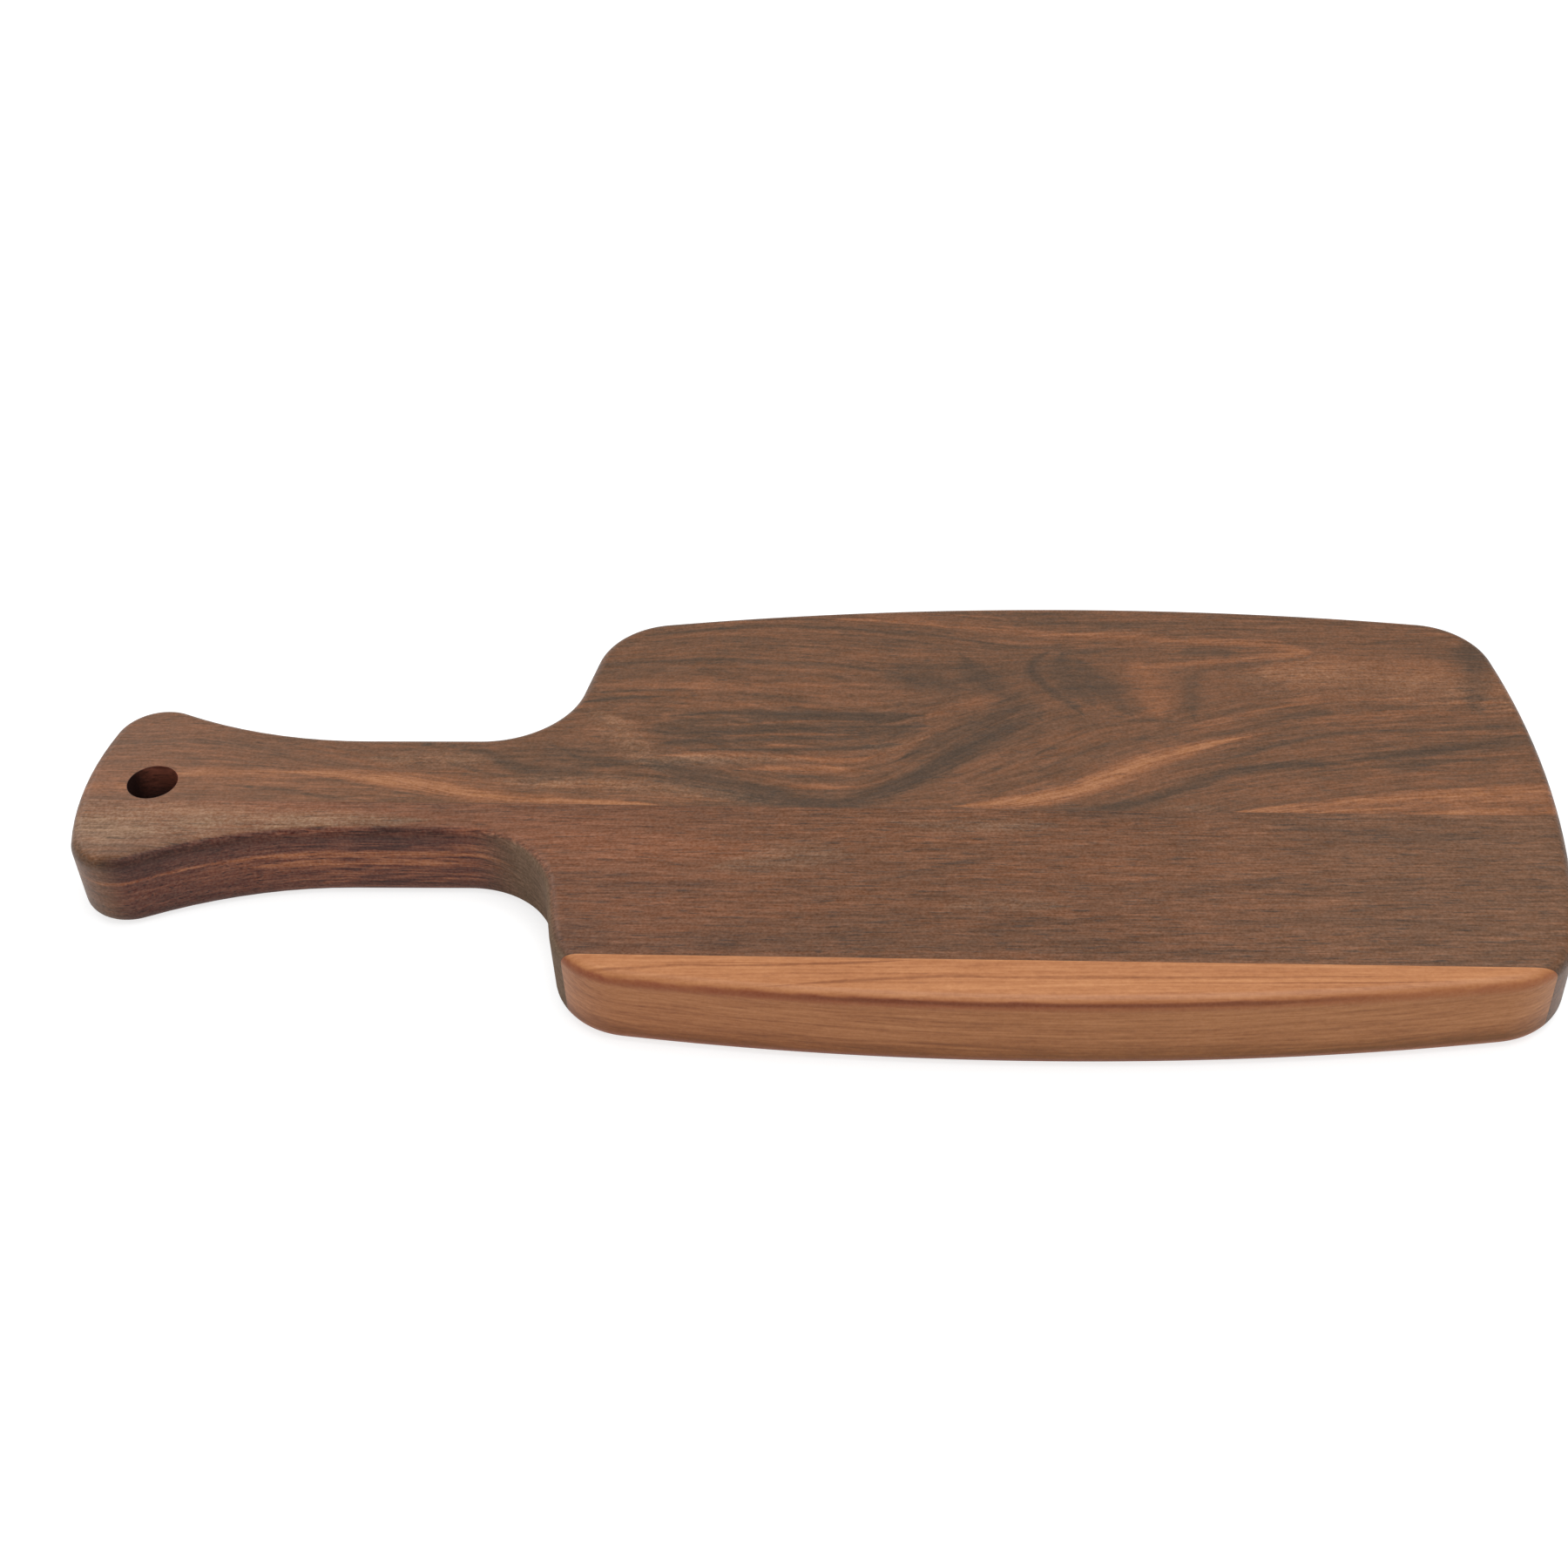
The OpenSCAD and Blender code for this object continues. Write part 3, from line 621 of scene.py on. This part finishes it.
def figured_walnut():
    """The grain follows the growth lines, and the streaks and shades are laid over it."""
    wood = Wood("figured walnut", 3.0)
    x, z = wood.x, wood.z
    ring_tilt = 0.55
    y = wood.y - ring_tilt * (board_t - z)
    y = y + 0.8 * wood.noise(x / 24, y / 9, z / 20) + 0.25 * wood.noise(x / 6, y / 2.5, z / 8, shift=7)
    lines = [(ring, wood.curve(x, points)) for ring, points in flow_lines]
    flow = None
    for (low_ring, low), (high_ring, high) in zip(lines, lines[1:]):
        step = (high_ring - low_ring) * wood.ramp(y, low, high, smooth=False)
        flow = step if flow is None else flow + step
    flow = flow + (y - lines[0][1]).at_most(0.0) + (y - lines[-1][1]).at_least(0.0)
    broad = wood.noise(x / 60, flow / 5, z / 12, detail=2)
    fine = wood.noise(x / 38, flow / 1.2, z / 3, detail=3, roughness=0.6, shift=20)
    fibre = wood.noise(x / 11, flow / 0.75, z / 0.8, detail=3, roughness=0.7, shift=40)
    parallel = y - lines[1][1]
    spread = wood.ramp(x, 60, 105) * wood.ramp(y - lines[2][1], 6, -4)
    straight_fine = wood.noise(x / 38, parallel / 1.5, z / 3, detail=3, roughness=0.6, shift=25)
    straight_fibre = wood.noise(x / 11, parallel / 0.75, z / 0.8, detail=3, roughness=0.7, shift=45)
    fine = fine + spread * (straight_fine - fine)
    fibre = fibre + spread * (straight_fibre - fibre)
    mottle = wood.noise(x / 2.2, y / 1.0, z / 1.6, detail=3, roughness=0.7, shift=60)
    grit = wood.grit(y)
    cloud = wood.noise(x / 9, y / 6, z / 8, detail=3, shift=70)
    pores = wood.ramp(wood.noise(x / 4.5, y / 0.45, z / 0.4, detail=1, shift=80), 0.2, 0.55)
    dark = wood.streaks(x, y, dark_along).at_least(wood.streaks(y, x, dark_across))
    light = wood.streaks(x, y, light_along).at_least(wood.streaks(y, x, light_across))
    dusty = wood.streaks(x, y, dusty_along).at_least(wood.streaks(y, x, dusty_across))
    specks = wood.specks(y)
    worn = 1 + 0.4 * fine + 0.5 * fibre + 0.2 * cloud
    tone = 0.5 + wood.shades(x, y, wide_shades) + wood.shades(y, x, wide_shades_across)
    tone = tone + (0.50 * light - 0.50 * dark) * worn
    swirl = wood.streak(x, y, ((10, 42, 0), (30, 42, 14), (60, 42, 18), (100, 42, 16), (124, 46, 0)))
    tone = tone + 0.20 * broad + (0.38 * fine + 0.36 * fibre) * (1 - 0.5 * swirl)
    tone = tone + (0.30 + 0.4 * dusty) * mottle
    tone = tone + 0.14 * cloud - 0.30 * pores - 0.14 * wood.rounded() - 0.08 * wood.side()
    dusty = dusty * (0.75 + 0.8 * cloud + 0.6 * mottle + 0.6 * grit)
    dusty_share = dusty.at_least(0.08).at_most(1.0)
    colour = wood.mix(dusty_share, wood.ramped(tone, walnut_tones), wood.ramped(tone, dusty_tones))
    texture = 0.7 * fibre * (1 - 0.5 * swirl) + (0.8 + 0.5 * dusty) * grit
    colour = wood.grained(colour, tone, texture, (0.086, 0.054, 0.040))
    colour = wood.mix(specks * (0.06 + 0.5 * dusty), colour, speck_colour)
    # The bored wall of the hanging hole: painted light near the top on the side that faces the light,
    # painted shade elsewhere.
    hole_x = wood.x + (board_l / 2 - hole_from_end)
    hole_y = wood.y + hole_offset
    bored = wood.ramp((hole_x**2 + hole_y**2) ** 0.5, hole_r + 0.12, hole_r + 0.02)
    light_from = math.radians(55)
    toward = (math.cos(light_from) * hole_x + math.sin(light_from) * hole_y) / hole_r
    lit = wood.ramp(toward, -0.2, 0.9) * wood.ramp(z, board_t - 13, board_t - 3) * (0.8 + 1.2 * fibre)
    colour = wood.mix(bored, colour, wood.mix(lit, bore_painted_shade, bore_painted_light))
    height = 0.5 * fibre + 0.3 * mottle - 1.2 * pores
    return wood.finish(colour, height, 0.46 + 0.06 * fibre + 0.08 * pores)


half_glue = glue_t / 2
make_stave("wide_stave", figured_walnut(), wide_joint_y + half_glue, board_w)


# Middle stave
# A plain, straight-grained dark walnut board with the near half of the handle. It is glued
# between the other two, and shows long, short-dashed pores along its whole length.

# Soft shades, fine dark lines and dusty patches, drawn as those of the wide stave are. On the handle, the
# lighter shades and the greyest dusty patch are partly a painted sheen.
middle_shades = (
    (-0.16, ((-62, -56, 9), (-52, -56, 9), (-42, -57, 0))),
    # The next two make the handle lighter: partly the wood, partly a painted sheen.
    (0.20, ((-200, -14, 12), (-150, -14, 12), (-90, -20, 14), (-60, -22, 15), (-40, -24, 13), (-16, -26, 8),
        (0, -28, 0))),
    (0.15, ((-200, -14, 26), (-160, -14, 24), (-130, -14, 18), (-100, -14, 0))),
    (0.08, ((-66, -46, 0), (-40, -46, 5), (-10, -45, 5), (20, -44, 0))),
    (-0.14, ((-40, -56, 0), (-20, -55, 4), (10, -54.5, 5), (40, -55, 5), (60, -56, 4), (90, -57, 0))),
    (-0.16, ((12, -36, 0), (26, -34, 3), (38, -30, 3.5), (52, -26, 0))),
    (-0.14, ((60, -12, 0), (72, -12.5, 2.5), (86, -13, 3), (100, -12, 0))),
    (-0.14, ((104, -14, 0), (118, -15, 3), (134, -18, 4), (152, -20, 3.5), (170, -20, 0))),
    (-0.09, ((-10, -38, 0), (6, -38.5, 2), (18, -37, 0))),
    (-0.12, ((-56, -45.4, 0), (-40, -45, 1.6), (-20, -44.6, 1.8), (0, -43, 1.4), (14, -41, 0))),
    (-0.12, ((-4, -50, 0), (16, -49.6, 1.6), (40, -49.4, 2), (64, -49.6, 1.6), (84, -50, 0))),
    (-0.12, ((88, -51, 0), (104, -50, 2), (124, -49.4, 2.2), (146, -50, 1.6), (162, -51, 0))),
    (-0.14, ((-54, -58.5, 0), (-30, -58.4, 2), (0, -58.6, 2.4), (40, -59, 2), (80, -59.4, 1.6),
        (110, -59.6, 0))),
    (0.10, ((-50, -36, 0), (-30, -35.4, 2.4), (-8, -35, 2), (8, -34.6, 0))),
    (0.10, ((20, -22, 0), (40, -21.4, 2.4), (62, -21, 2.6), (84, -21.6, 2), (100, -22, 0))),
    (0.09, ((90, -32, 0), (116, -31, 3), (140, -30.4, 3), (168, -31, 2), (186, -31.4, 0))),
    (0.08, ((70, -42, 0), (96, -42.6, 2.6), (124, -43, 2.6), (150, -42.6, 0))),
    (0.08, ((50, -30, 0), (80, -28, 6), (112, -24, 7), (124, -22, 0))),
    (-0.08, ((60, -44, 0), (90, -40, 3.5), (120, -34, 3), (140, -28, 0))),
)
middle_lines = (
    (0.6, ((-64, -43.4, 0), (-56, -43.7, 0.7), (-47, -43.5, 0))),
    (0.4, ((-34, -44, 0), (-24, -43.6, 0.6), (-12, -43.4, 0))),
    (0.5, ((52, -11, 0), (66, -11, 0.8), (80, -11.4, 0.7), (92, -11.6, 0))),
    (0.45, ((114, -16.6, 0), (126, -17, 0.6), (140, -18, 0))),
    (0.35, ((-64, -26, 0), (-58, -26.4, 1.1), (-50, -27, 0))),
    (0.4, ((52, -29.8, 0), (60, -30, 0.7), (70, -30, 0))),
    (0.35, ((60, -52.6, 0), (78, -52, 0.7), (96, -51.6, 0))),
)
middle_dusty_and_sheen = (
    (0.55, ((-26, -32, 0), (-16, -30, 6), (-6, -28, 9), (4, -27, 7), (14, -27, 0))),
    (0.5, ((30, -46, 0), (42, -44, 4), (54, -44, 4), (66, -45, 0))),
    # The greyish veil over the handle: partly dusty grain, partly a painted sheen.
    (1.1, ((-200, -16, 20), (-170, -18, 17), (-140, -16, 9), (-110, -15, 5), (-90, -14, 0))),
    (0.6, ((16, -14, 0), (34, -16, 4), (52, -16, 4), (66, -15, 0))),
)
# The side of the handle is cut across the rings, so a lighter one runs along it at mid height.
side_rings = (
    (0.5, ((-198, 14, 0.5), (-176, 14, 0.6), (-160, 14, 0.8), (-130, 13.6, 0.9), (-100, 13.4, 1.3),
        (-82, 13.2, 1.2), (-66, 12, 0))),
    (0.34, ((-150, 11, 0), (-130, 10.6, 1.2), (-104, 10.2, 2), (-84, 10.4, 1.8), (-70, 10, 0))),
    (0.30, ((-150, 2.6, 0), (-126, 2.4, 0.9), (-100, 2.2, 1), (-76, 2, 0))),
)
ruddy_tones = ((0.074, 0.037, 0.020), (0.112, 0.051, 0.024), (0.162, 0.066, 0.028), (0.222, 0.084, 0.034),
               (0.30, 0.112, 0.043), (0.38, 0.152, 0.062))
reddish_tones = ((0.075, 0.035, 0.023), (0.122, 0.050, 0.028), (0.178, 0.069, 0.034), (0.235, 0.086, 0.042),
                 (0.30, 0.112, 0.053), (0.37, 0.148, 0.070))
grip_tones = ((0.050, 0.019, 0.013), (0.088, 0.031, 0.020), (0.135, 0.045, 0.027), (0.205, 0.068, 0.035),
              (0.30, 0.104, 0.045), (0.40, 0.145, 0.060))
sawn_end_dark, sawn_end_light = rgb(0.150, 0.098, 0.060), rgb(0.236, 0.156, 0.100)


def dark_walnut():
    """Straight grain, redder on the side of the grip and greyer where the neck's corner is sawn across."""
    wood = Wood("dark walnut", 31.0)
    x, y, z = wood.x, wood.y, wood.z
    ring_tilt = 1.3
    y = y + 0.5 * wood.noise(x / 40, y / 9, z / 12, shift=7)
    rings = y + ring_tilt * (board_t - z) + 2.0 * wood.noise(x / 70, y / 22, z / 22)
    broad = wood.noise(x / 110, rings / 7, z / 30, detail=2)
    fine = wood.noise(x / 45, rings / 1.0, z / 6, detail=3, roughness=0.65, shift=20)
    across = y / 0.65 * (1 - 0.85 * wood.side())
    fibre = wood.noise(x / 10, across, z / 0.7, detail=3, roughness=0.7, shift=40)
    mottle = wood.noise(x / 2.8, y / 1.0, z / 1.2, detail=3, roughness=0.7, shift=60)
    grit = wood.grit(y)
    cloud = wood.noise(x / 12, y / 7, z / 8, detail=3, shift=70)
    pores = wood.ramp(wood.noise(x / 5.5, y / 0.45, z / 0.4, detail=1, shift=80), 0.16, 0.5)
    specks = wood.specks(y)
    # Dusty patches; the one over the handle is partly a painted sheen.
    dusty = wood.streaks(x, y, middle_dusty_and_sheen) * (0.75 + 0.8 * cloud + 0.3 * mottle + 0.6 * grit)
    below = wood.ramp(wood.depth, 0.1, 0.7)
    grip = below * wood.ramp(y, -13, -16) * wood.ramp(x, -176, -168) * wood.ramp(x, -60, -66)
    sawn_end = wood.ramp(wood.depth, 0.1, 1.4) * wood.ramp(x, -86, -70) * (x.math("LESS_THAN", -50))
    ringed = below * wood.ramp(y, -4, -12) * wood.ramp(x, -60, -66)
    plain = wood.ramp(x, -112, -150)
    tone = 0.5 + wood.shades(x, y, middle_shades) + ringed * wood.streaks(x, z + 0.5 * fine, side_rings)
    # Painted shade on the grip's side: a dark band along its upper part, which faces away from the light,
    # and a little more below mid height.
    upper_grip_shade = wood.ramp(z, 13.5, 15.5) * wood.ramp(x, -84, -98)
    tone = tone - grip * (0.22 * upper_grip_shade + 0.07 * wood.ramp(z, 9, 6))
    tone = tone - 0.40 * wood.streaks(x, y, middle_lines) * (1 + 0.6 * fibre)
    along = (0.40 + grip * (0.85 - 0.75 * plain)) * (1 - 0.6 * sawn_end)
    tone = tone + 0.10 * broad + 0.30 * fine + along * fibre + 0.26 * mottle + 0.14 * cloud
    rim = wood.rounded() * (1 - 0.9 * wood.ramp(x, -86, -74) * wood.ramp(x, -40, -55))
    # The pores and the rounded rim are darker. The side faces get a painted shade that deepens towards the
    # underside, near the floor.
    tone = tone - (0.42 + 0.3 * grip) * pores - 0.20 * rim - 0.12 * wood.ramp(z, 10, 1) * wood.side()
    redder = wood.ramp(x, 30, -80) * wood.ramp(x, -190, -110)
    colour = wood.mix(redder * 0.6, wood.ramped(tone, ruddy_tones), wood.ramped(tone, reddish_tones))
    dusty_share = (dusty + 0.35 * wood.ramp(x, 60, 170)).at_most(1.0)
    colour = wood.mix(dusty_share, colour, wood.ramped(tone, dusty_tones))
    colour = wood.mix(grip, colour, wood.ramped(tone, grip_tones))
    sawn_end_colour = wood.mix(wood.ramp(fibre + mottle, -0.9, 0.9), sawn_end_dark, sawn_end_light)
    colour = wood.mix(0.85 * sawn_end, colour, sawn_end_colour)
    texture = 0.8 * fibre + (0.8 + 0.4 * dusty) * grit
    colour = wood.grained(colour, tone, texture, (0.104, 0.070, 0.052))
    colour = wood.mix(specks * (0.06 + 0.5 * dusty), colour, speck_colour)
    height = 0.5 * fibre + 0.3 * mottle - 1.4 * pores
    return wood.finish(colour, height, 0.46 + 0.06 * fibre + 0.08 * pores + 0.4 * sawn_end + 0.1 * grip)


make_stave("middle_stave", dark_walnut(), edge_joint_y + half_glue, wide_joint_y - half_glue)


# Edge stave
# A narrow board of pale walnut, cut near the bark, along the near side. A few reddish
# growth lines run along it at a slight angle to the joint.

# The growth lines on the flat faces.
pale_lines = (
    (0.42, ((-56, -66.6, 0), (-50, -66.4, 0.7), (-36, -65.6, 1), (-28, -64.9, 0.9), (-14, -64.8, 0.6),
        (2, -64.3, 0.9), (16, -63.5, 0.7), (30, -62.7, 0))),
    (0.32, ((-12, -71.4, 0), (-4, -71.2, 0.3), (5, -70.3, 0.8), (15, -69.3, 1), (28, -68.3, 0.9),
        (38, -67.9, 1), (47, -68.3, 0.8), (64, -68.3, 1), (90, -68.2, 0.8), (120, -67.6, 0.6),
        (150, -67.2, 0))),
    (0.35, ((70, -69.6, 0), (100, -69.8, 0.5), (130, -69.4, 0.5), (160, -68.4, 0))),
    (0.35, ((-50, -63.8, 0), (-20, -64, 0.4), (10, -63.8, 0))),
)
# The rings that the near side face shows, drawn by their height above the underside.
pale_side_rings = (
    (0.5, ((-62, 14, 0), (-40, 13, 0.5), (0, 11.6, 0.5), (40, 11, 0.5), (90, 11.4, 0.4), (140, 12.6, 0))),
    (0.4, ((-50, 9, 0), (-10, 7.6, 0.5), (40, 7, 0.6), (100, 7.4, 0.5), (160, 9, 0))),
    (0.5, ((-60, 4, 1.5), (0, 2.6, 1.4), (60, 2.4, 1.4), (170, 4, 1.6))),
)
pale_tones = ((0.18, 0.062, 0.022), (0.31, 0.110, 0.039), (0.45, 0.176, 0.066), (0.55, 0.234, 0.094),
              (0.62, 0.29, 0.128))


def pale_walnut():
    """Fine pale grain, golden on the side, with a darker reddish band along the rounded edge."""
    wood = Wood("pale walnut", 57.0)
    x, y, z = wood.x, wood.y, wood.z
    ring_tilt = 1.1
    slope = 0.012
    rings = y + ring_tilt * (board_t - z) + 0.8 * wood.noise(x / 60, y / 14, z / 14) - slope * x
    broad = wood.noise(x / 120, rings / 3.0, z / 20, detail=2)
    fine = wood.noise(x / 80, rings / 0.9, z / 5, detail=3, roughness=0.6, shift=20)
    across = y / 0.9 * (1 - 0.85 * wood.side())
    fibre = wood.noise(x / 16, across, z / 0.8, detail=3, roughness=0.65, shift=40)
    grit = wood.grit(y)
    mottle = wood.noise(x / 2, y / 1.0, z / 1.0, detail=3, shift=60)
    pores = wood.ramp(wood.noise(x / 5, y / 0.34, z / 0.34, detail=1, shift=80), 0.34, 0.66)
    drawn = wood.streaks(x, y + 0.3 * wood.noise(x / 14, y / 4, z / 6), pale_lines)
    side = wood.streaks(x, z + 0.4 * wood.noise(x / 20, y / 4, z / 4), pale_side_rings)
    tone = 0.60 + 0.20 * broad + 0.34 * fine + (0.24 + 0.2 * wood.side()) * fibre + 0.20 * mottle
    flat = wood.ramp(wood.depth, 1.2, 0.2)
    tone = tone - drawn * flat * (1 + 0.6 * fibre) - 0.24 * pores - 0.3 * side
    # Painted shade: the side face grows darker towards the underside, near the floor.
    tone = tone - 0.06 * wood.side() - 0.46 * wood.ramp(z, 10, 1) * wood.side()
    depth = wood.depth + 0.5 * fine
    band = 0.45 + 0.30 * wood.ramp(x, 130, -10) + 0.5 * fine + 0.3 * fibre
    band = band * wood.ramp(depth, 0.4, 1.3) * wood.ramp(depth, 3.4, 1.8)
    golden = wood.side() * (0.24 + 0.22 * wood.ramp(z, 9, 1))
    side_colour = wood.mix(wood.ramp(x, -40, 100), rgb(0.275, 0.072, 0.0), rgb(0.245, 0.088, 0.0))
    colour = wood.mix(golden, wood.ramped(tone, pale_tones), side_colour)
    colour = wood.mix(band.at_least(0.0).at_most(1.0), colour, rgb(0.255, 0.062, 0.026))
    core = wood.ramp(depth, 0.8, 1.3) * wood.ramp(depth, 2.1, 1.5)
    core = core * wood.ramp(x, -30, 20) * wood.ramp(x, 150, 100)
    colour = wood.mix((0.6 + 0.5 * fibre) * core, colour, rgb(0.130, 0.032, 0.014))
    colour = wood.grained(colour, tone, 0.6 * fibre + 0.6 * grit, (0.075, 0.046, 0.028))
    height = 0.5 * fibre - 1.0 * pores
    return wood.finish(colour, height, 0.44 + 0.06 * fibre)


make_stave("edge_stave", pale_walnut(), -board_w, edge_joint_y - half_glue)


# Glue films
# Two thin films of wood glue, squeezed out along the joints and sanded flush. They show
# as dark hairlines between the staves, on both faces and at the ends.

def dried_glue():
    wood = Wood("dried glue", 83.0)
    speck = wood.noise(wood.x / 4, wood.y / 2, wood.z / 3, detail=2)
    colour = wood.mix(wood.ramp(speck, -0.8, 0.8), rgb(0.06, 0.030, 0.018), rgb(0.105, 0.055, 0.030))
    return wood.finish(colour, speck, 0.5 + 0.08 * speck)


glue = dried_glue()
make_stave("wide_joint_glue", glue, wide_joint_y - half_glue, wide_joint_y + half_glue)
make_stave("edge_joint_glue", glue, edge_joint_y - half_glue, edge_joint_y + half_glue)


# Floor, light and camera
# A plain white ground that keeps the board's contact shadow, an even white sky, and two soft lamps: a large
# one above and a smaller one behind and to the left.

floor_side = 6.0
floor_mesh = bpy.data.meshes.new("floor")
half_side = floor_side / 2
ground_z = -0.03 * MM
floor_corners = [(-half_side, -half_side, ground_z), (half_side, -half_side, ground_z),
                 (half_side, half_side, ground_z), (-half_side, half_side, ground_z)]
floor_mesh.from_pydata(floor_corners, [], [(0, 1, 2, 3)])
floor = bpy.data.objects.new("floor", floor_mesh)
bpy.context.scene.collection.objects.link(floor)


def seen_directly(tree):
    """1 for rays from the camera and for those that reflections and clear things send on."""
    rays = [Value.of(tree, "ShaderNodeLightPath", output=name)
            for name in ("Is Camera Ray", "Is Glossy Ray", "Is Transmission Ray")]
    return rays[0].at_least(rays[1]).at_least(rays[2])


def white_ground():
    """White paint that also glows a little to what sees it, but not down in the hanging hole."""
    material = bpy.data.materials.new("white ground")
    material.use_nodes = True
    tree = material.node_tree
    tree.nodes.clear()
    of = partial(Value.of, tree)
    glow_share = 0.5
    place = of("ShaderNodeTexCoord", output=3)
    hole_place = ((-board_l / 2 + hole_from_end) * MM, -hole_offset * MM, 0)
    from_hole = of("ShaderNodeVectorMath", {"operation": "DISTANCE"}, {0: place, 1: hole_place}, output=1)
    glow_share = glow_share * (from_hole > 1.4 * hole_r * MM)
    lit = of("ShaderNodeBsdfDiffuse", values={"Color": rgb(0.9, 0.9, 0.9)})
    glow = of("ShaderNodeEmission", values={"Color": rgb(1, 1, 1), "Strength": 1.5})
    glow_share = glow_share * seen_directly(tree)
    mixed = of("ShaderNodeMixShader", values={0: glow_share, 1: lit, 2: glow})
    mixed.into("ShaderNodeOutputMaterial", "Surface")
    return material


floor_mesh.materials.append(white_ground())

world = bpy.data.worlds.new("white sky")
bpy.context.scene.world = world
world.use_nodes = True
sky_tree = world.node_tree
sky_tree.nodes.clear()
sky_strength, backdrop_strength = 0.45, 1.0
sky = Value.of(sky_tree, "ShaderNodeBackground", values={"Color": rgb(1, 1, 1), "Strength": sky_strength})
backdrop = Value.of(sky_tree, "ShaderNodeBackground",
                    values={"Color": rgb(1, 1, 1), "Strength": backdrop_strength})
camera_ray = Value.of(sky_tree, "ShaderNodeLightPath", output="Is Camera Ray")
seen = Value.of(sky_tree, "ShaderNodeMixShader", values={0: camera_ray, 1: sky, 2: backdrop})
seen.into("ShaderNodeOutputWorld", "Surface")


def soft_lamp(name, place, width, depth, watts):
    data = bpy.data.lights.new(name, "AREA")
    data.shape = "RECTANGLE"
    data.size = width
    data.size_y = depth
    data.energy = watts
    lamp = bpy.data.objects.new(name, data)
    bpy.context.scene.collection.objects.link(lamp)
    lamp.location = place
    lamp.rotation_euler = (-lamp.location).to_track_quat("-Z", "Y").to_euler()


soft_lamp("overhead lamp", (0.25, 0.1, 1.5), 1.2, 0.8, 14)
soft_lamp("lamp behind left", (-1.0, 0.9, 0.85), 0.7, 0.7, 4.5)

photo_side = 1800
view_azimuth = math.radians(1.8552)
view_elevation = math.radians(41.2912)
view_roll = math.radians(-1.0612)
view_distance = 566.633
view_target = Vector((16.267, 1.754, 10.7))
focal_pixels = 2531.82
axis_pixel_x, axis_pixel_y = 1006.722, 930.524
sensor_width = 36.0

camera_data = bpy.data.cameras.new("camera")
camera_data.sensor_fit = "HORIZONTAL"
camera_data.sensor_width = sensor_width
camera_data.lens = focal_pixels / photo_side * sensor_width
camera_data.shift_x = (photo_side / 2 - axis_pixel_x) / photo_side
camera_data.shift_y = (axis_pixel_y - photo_side / 2) / photo_side
camera_data.clip_start = 0.01
camera = bpy.data.objects.new("camera", camera_data)
bpy.context.scene.collection.objects.link(camera)
level_back = Vector((math.sin(view_azimuth), -math.cos(view_azimuth), 0))
back = math.cos(view_elevation) * level_back + math.sin(view_elevation) * Vector((0, 0, 1))
right = (-back).cross(Vector((0, 0, 1))).normalized()
up = right.cross(-back)
level_right = math.cos(view_roll) * right + math.sin(view_roll) * up
level_up = -math.sin(view_roll) * right + math.cos(view_roll) * up
turn = Matrix((level_right, level_up, back)).transposed().to_4x4()
camera.matrix_world = Matrix.Translation((view_target + view_distance * back) * MM) @ turn
bpy.context.scene.camera = camera
bpy.context.scene.view_settings.view_transform = "Standard"

bpy.context.view_layer.update()
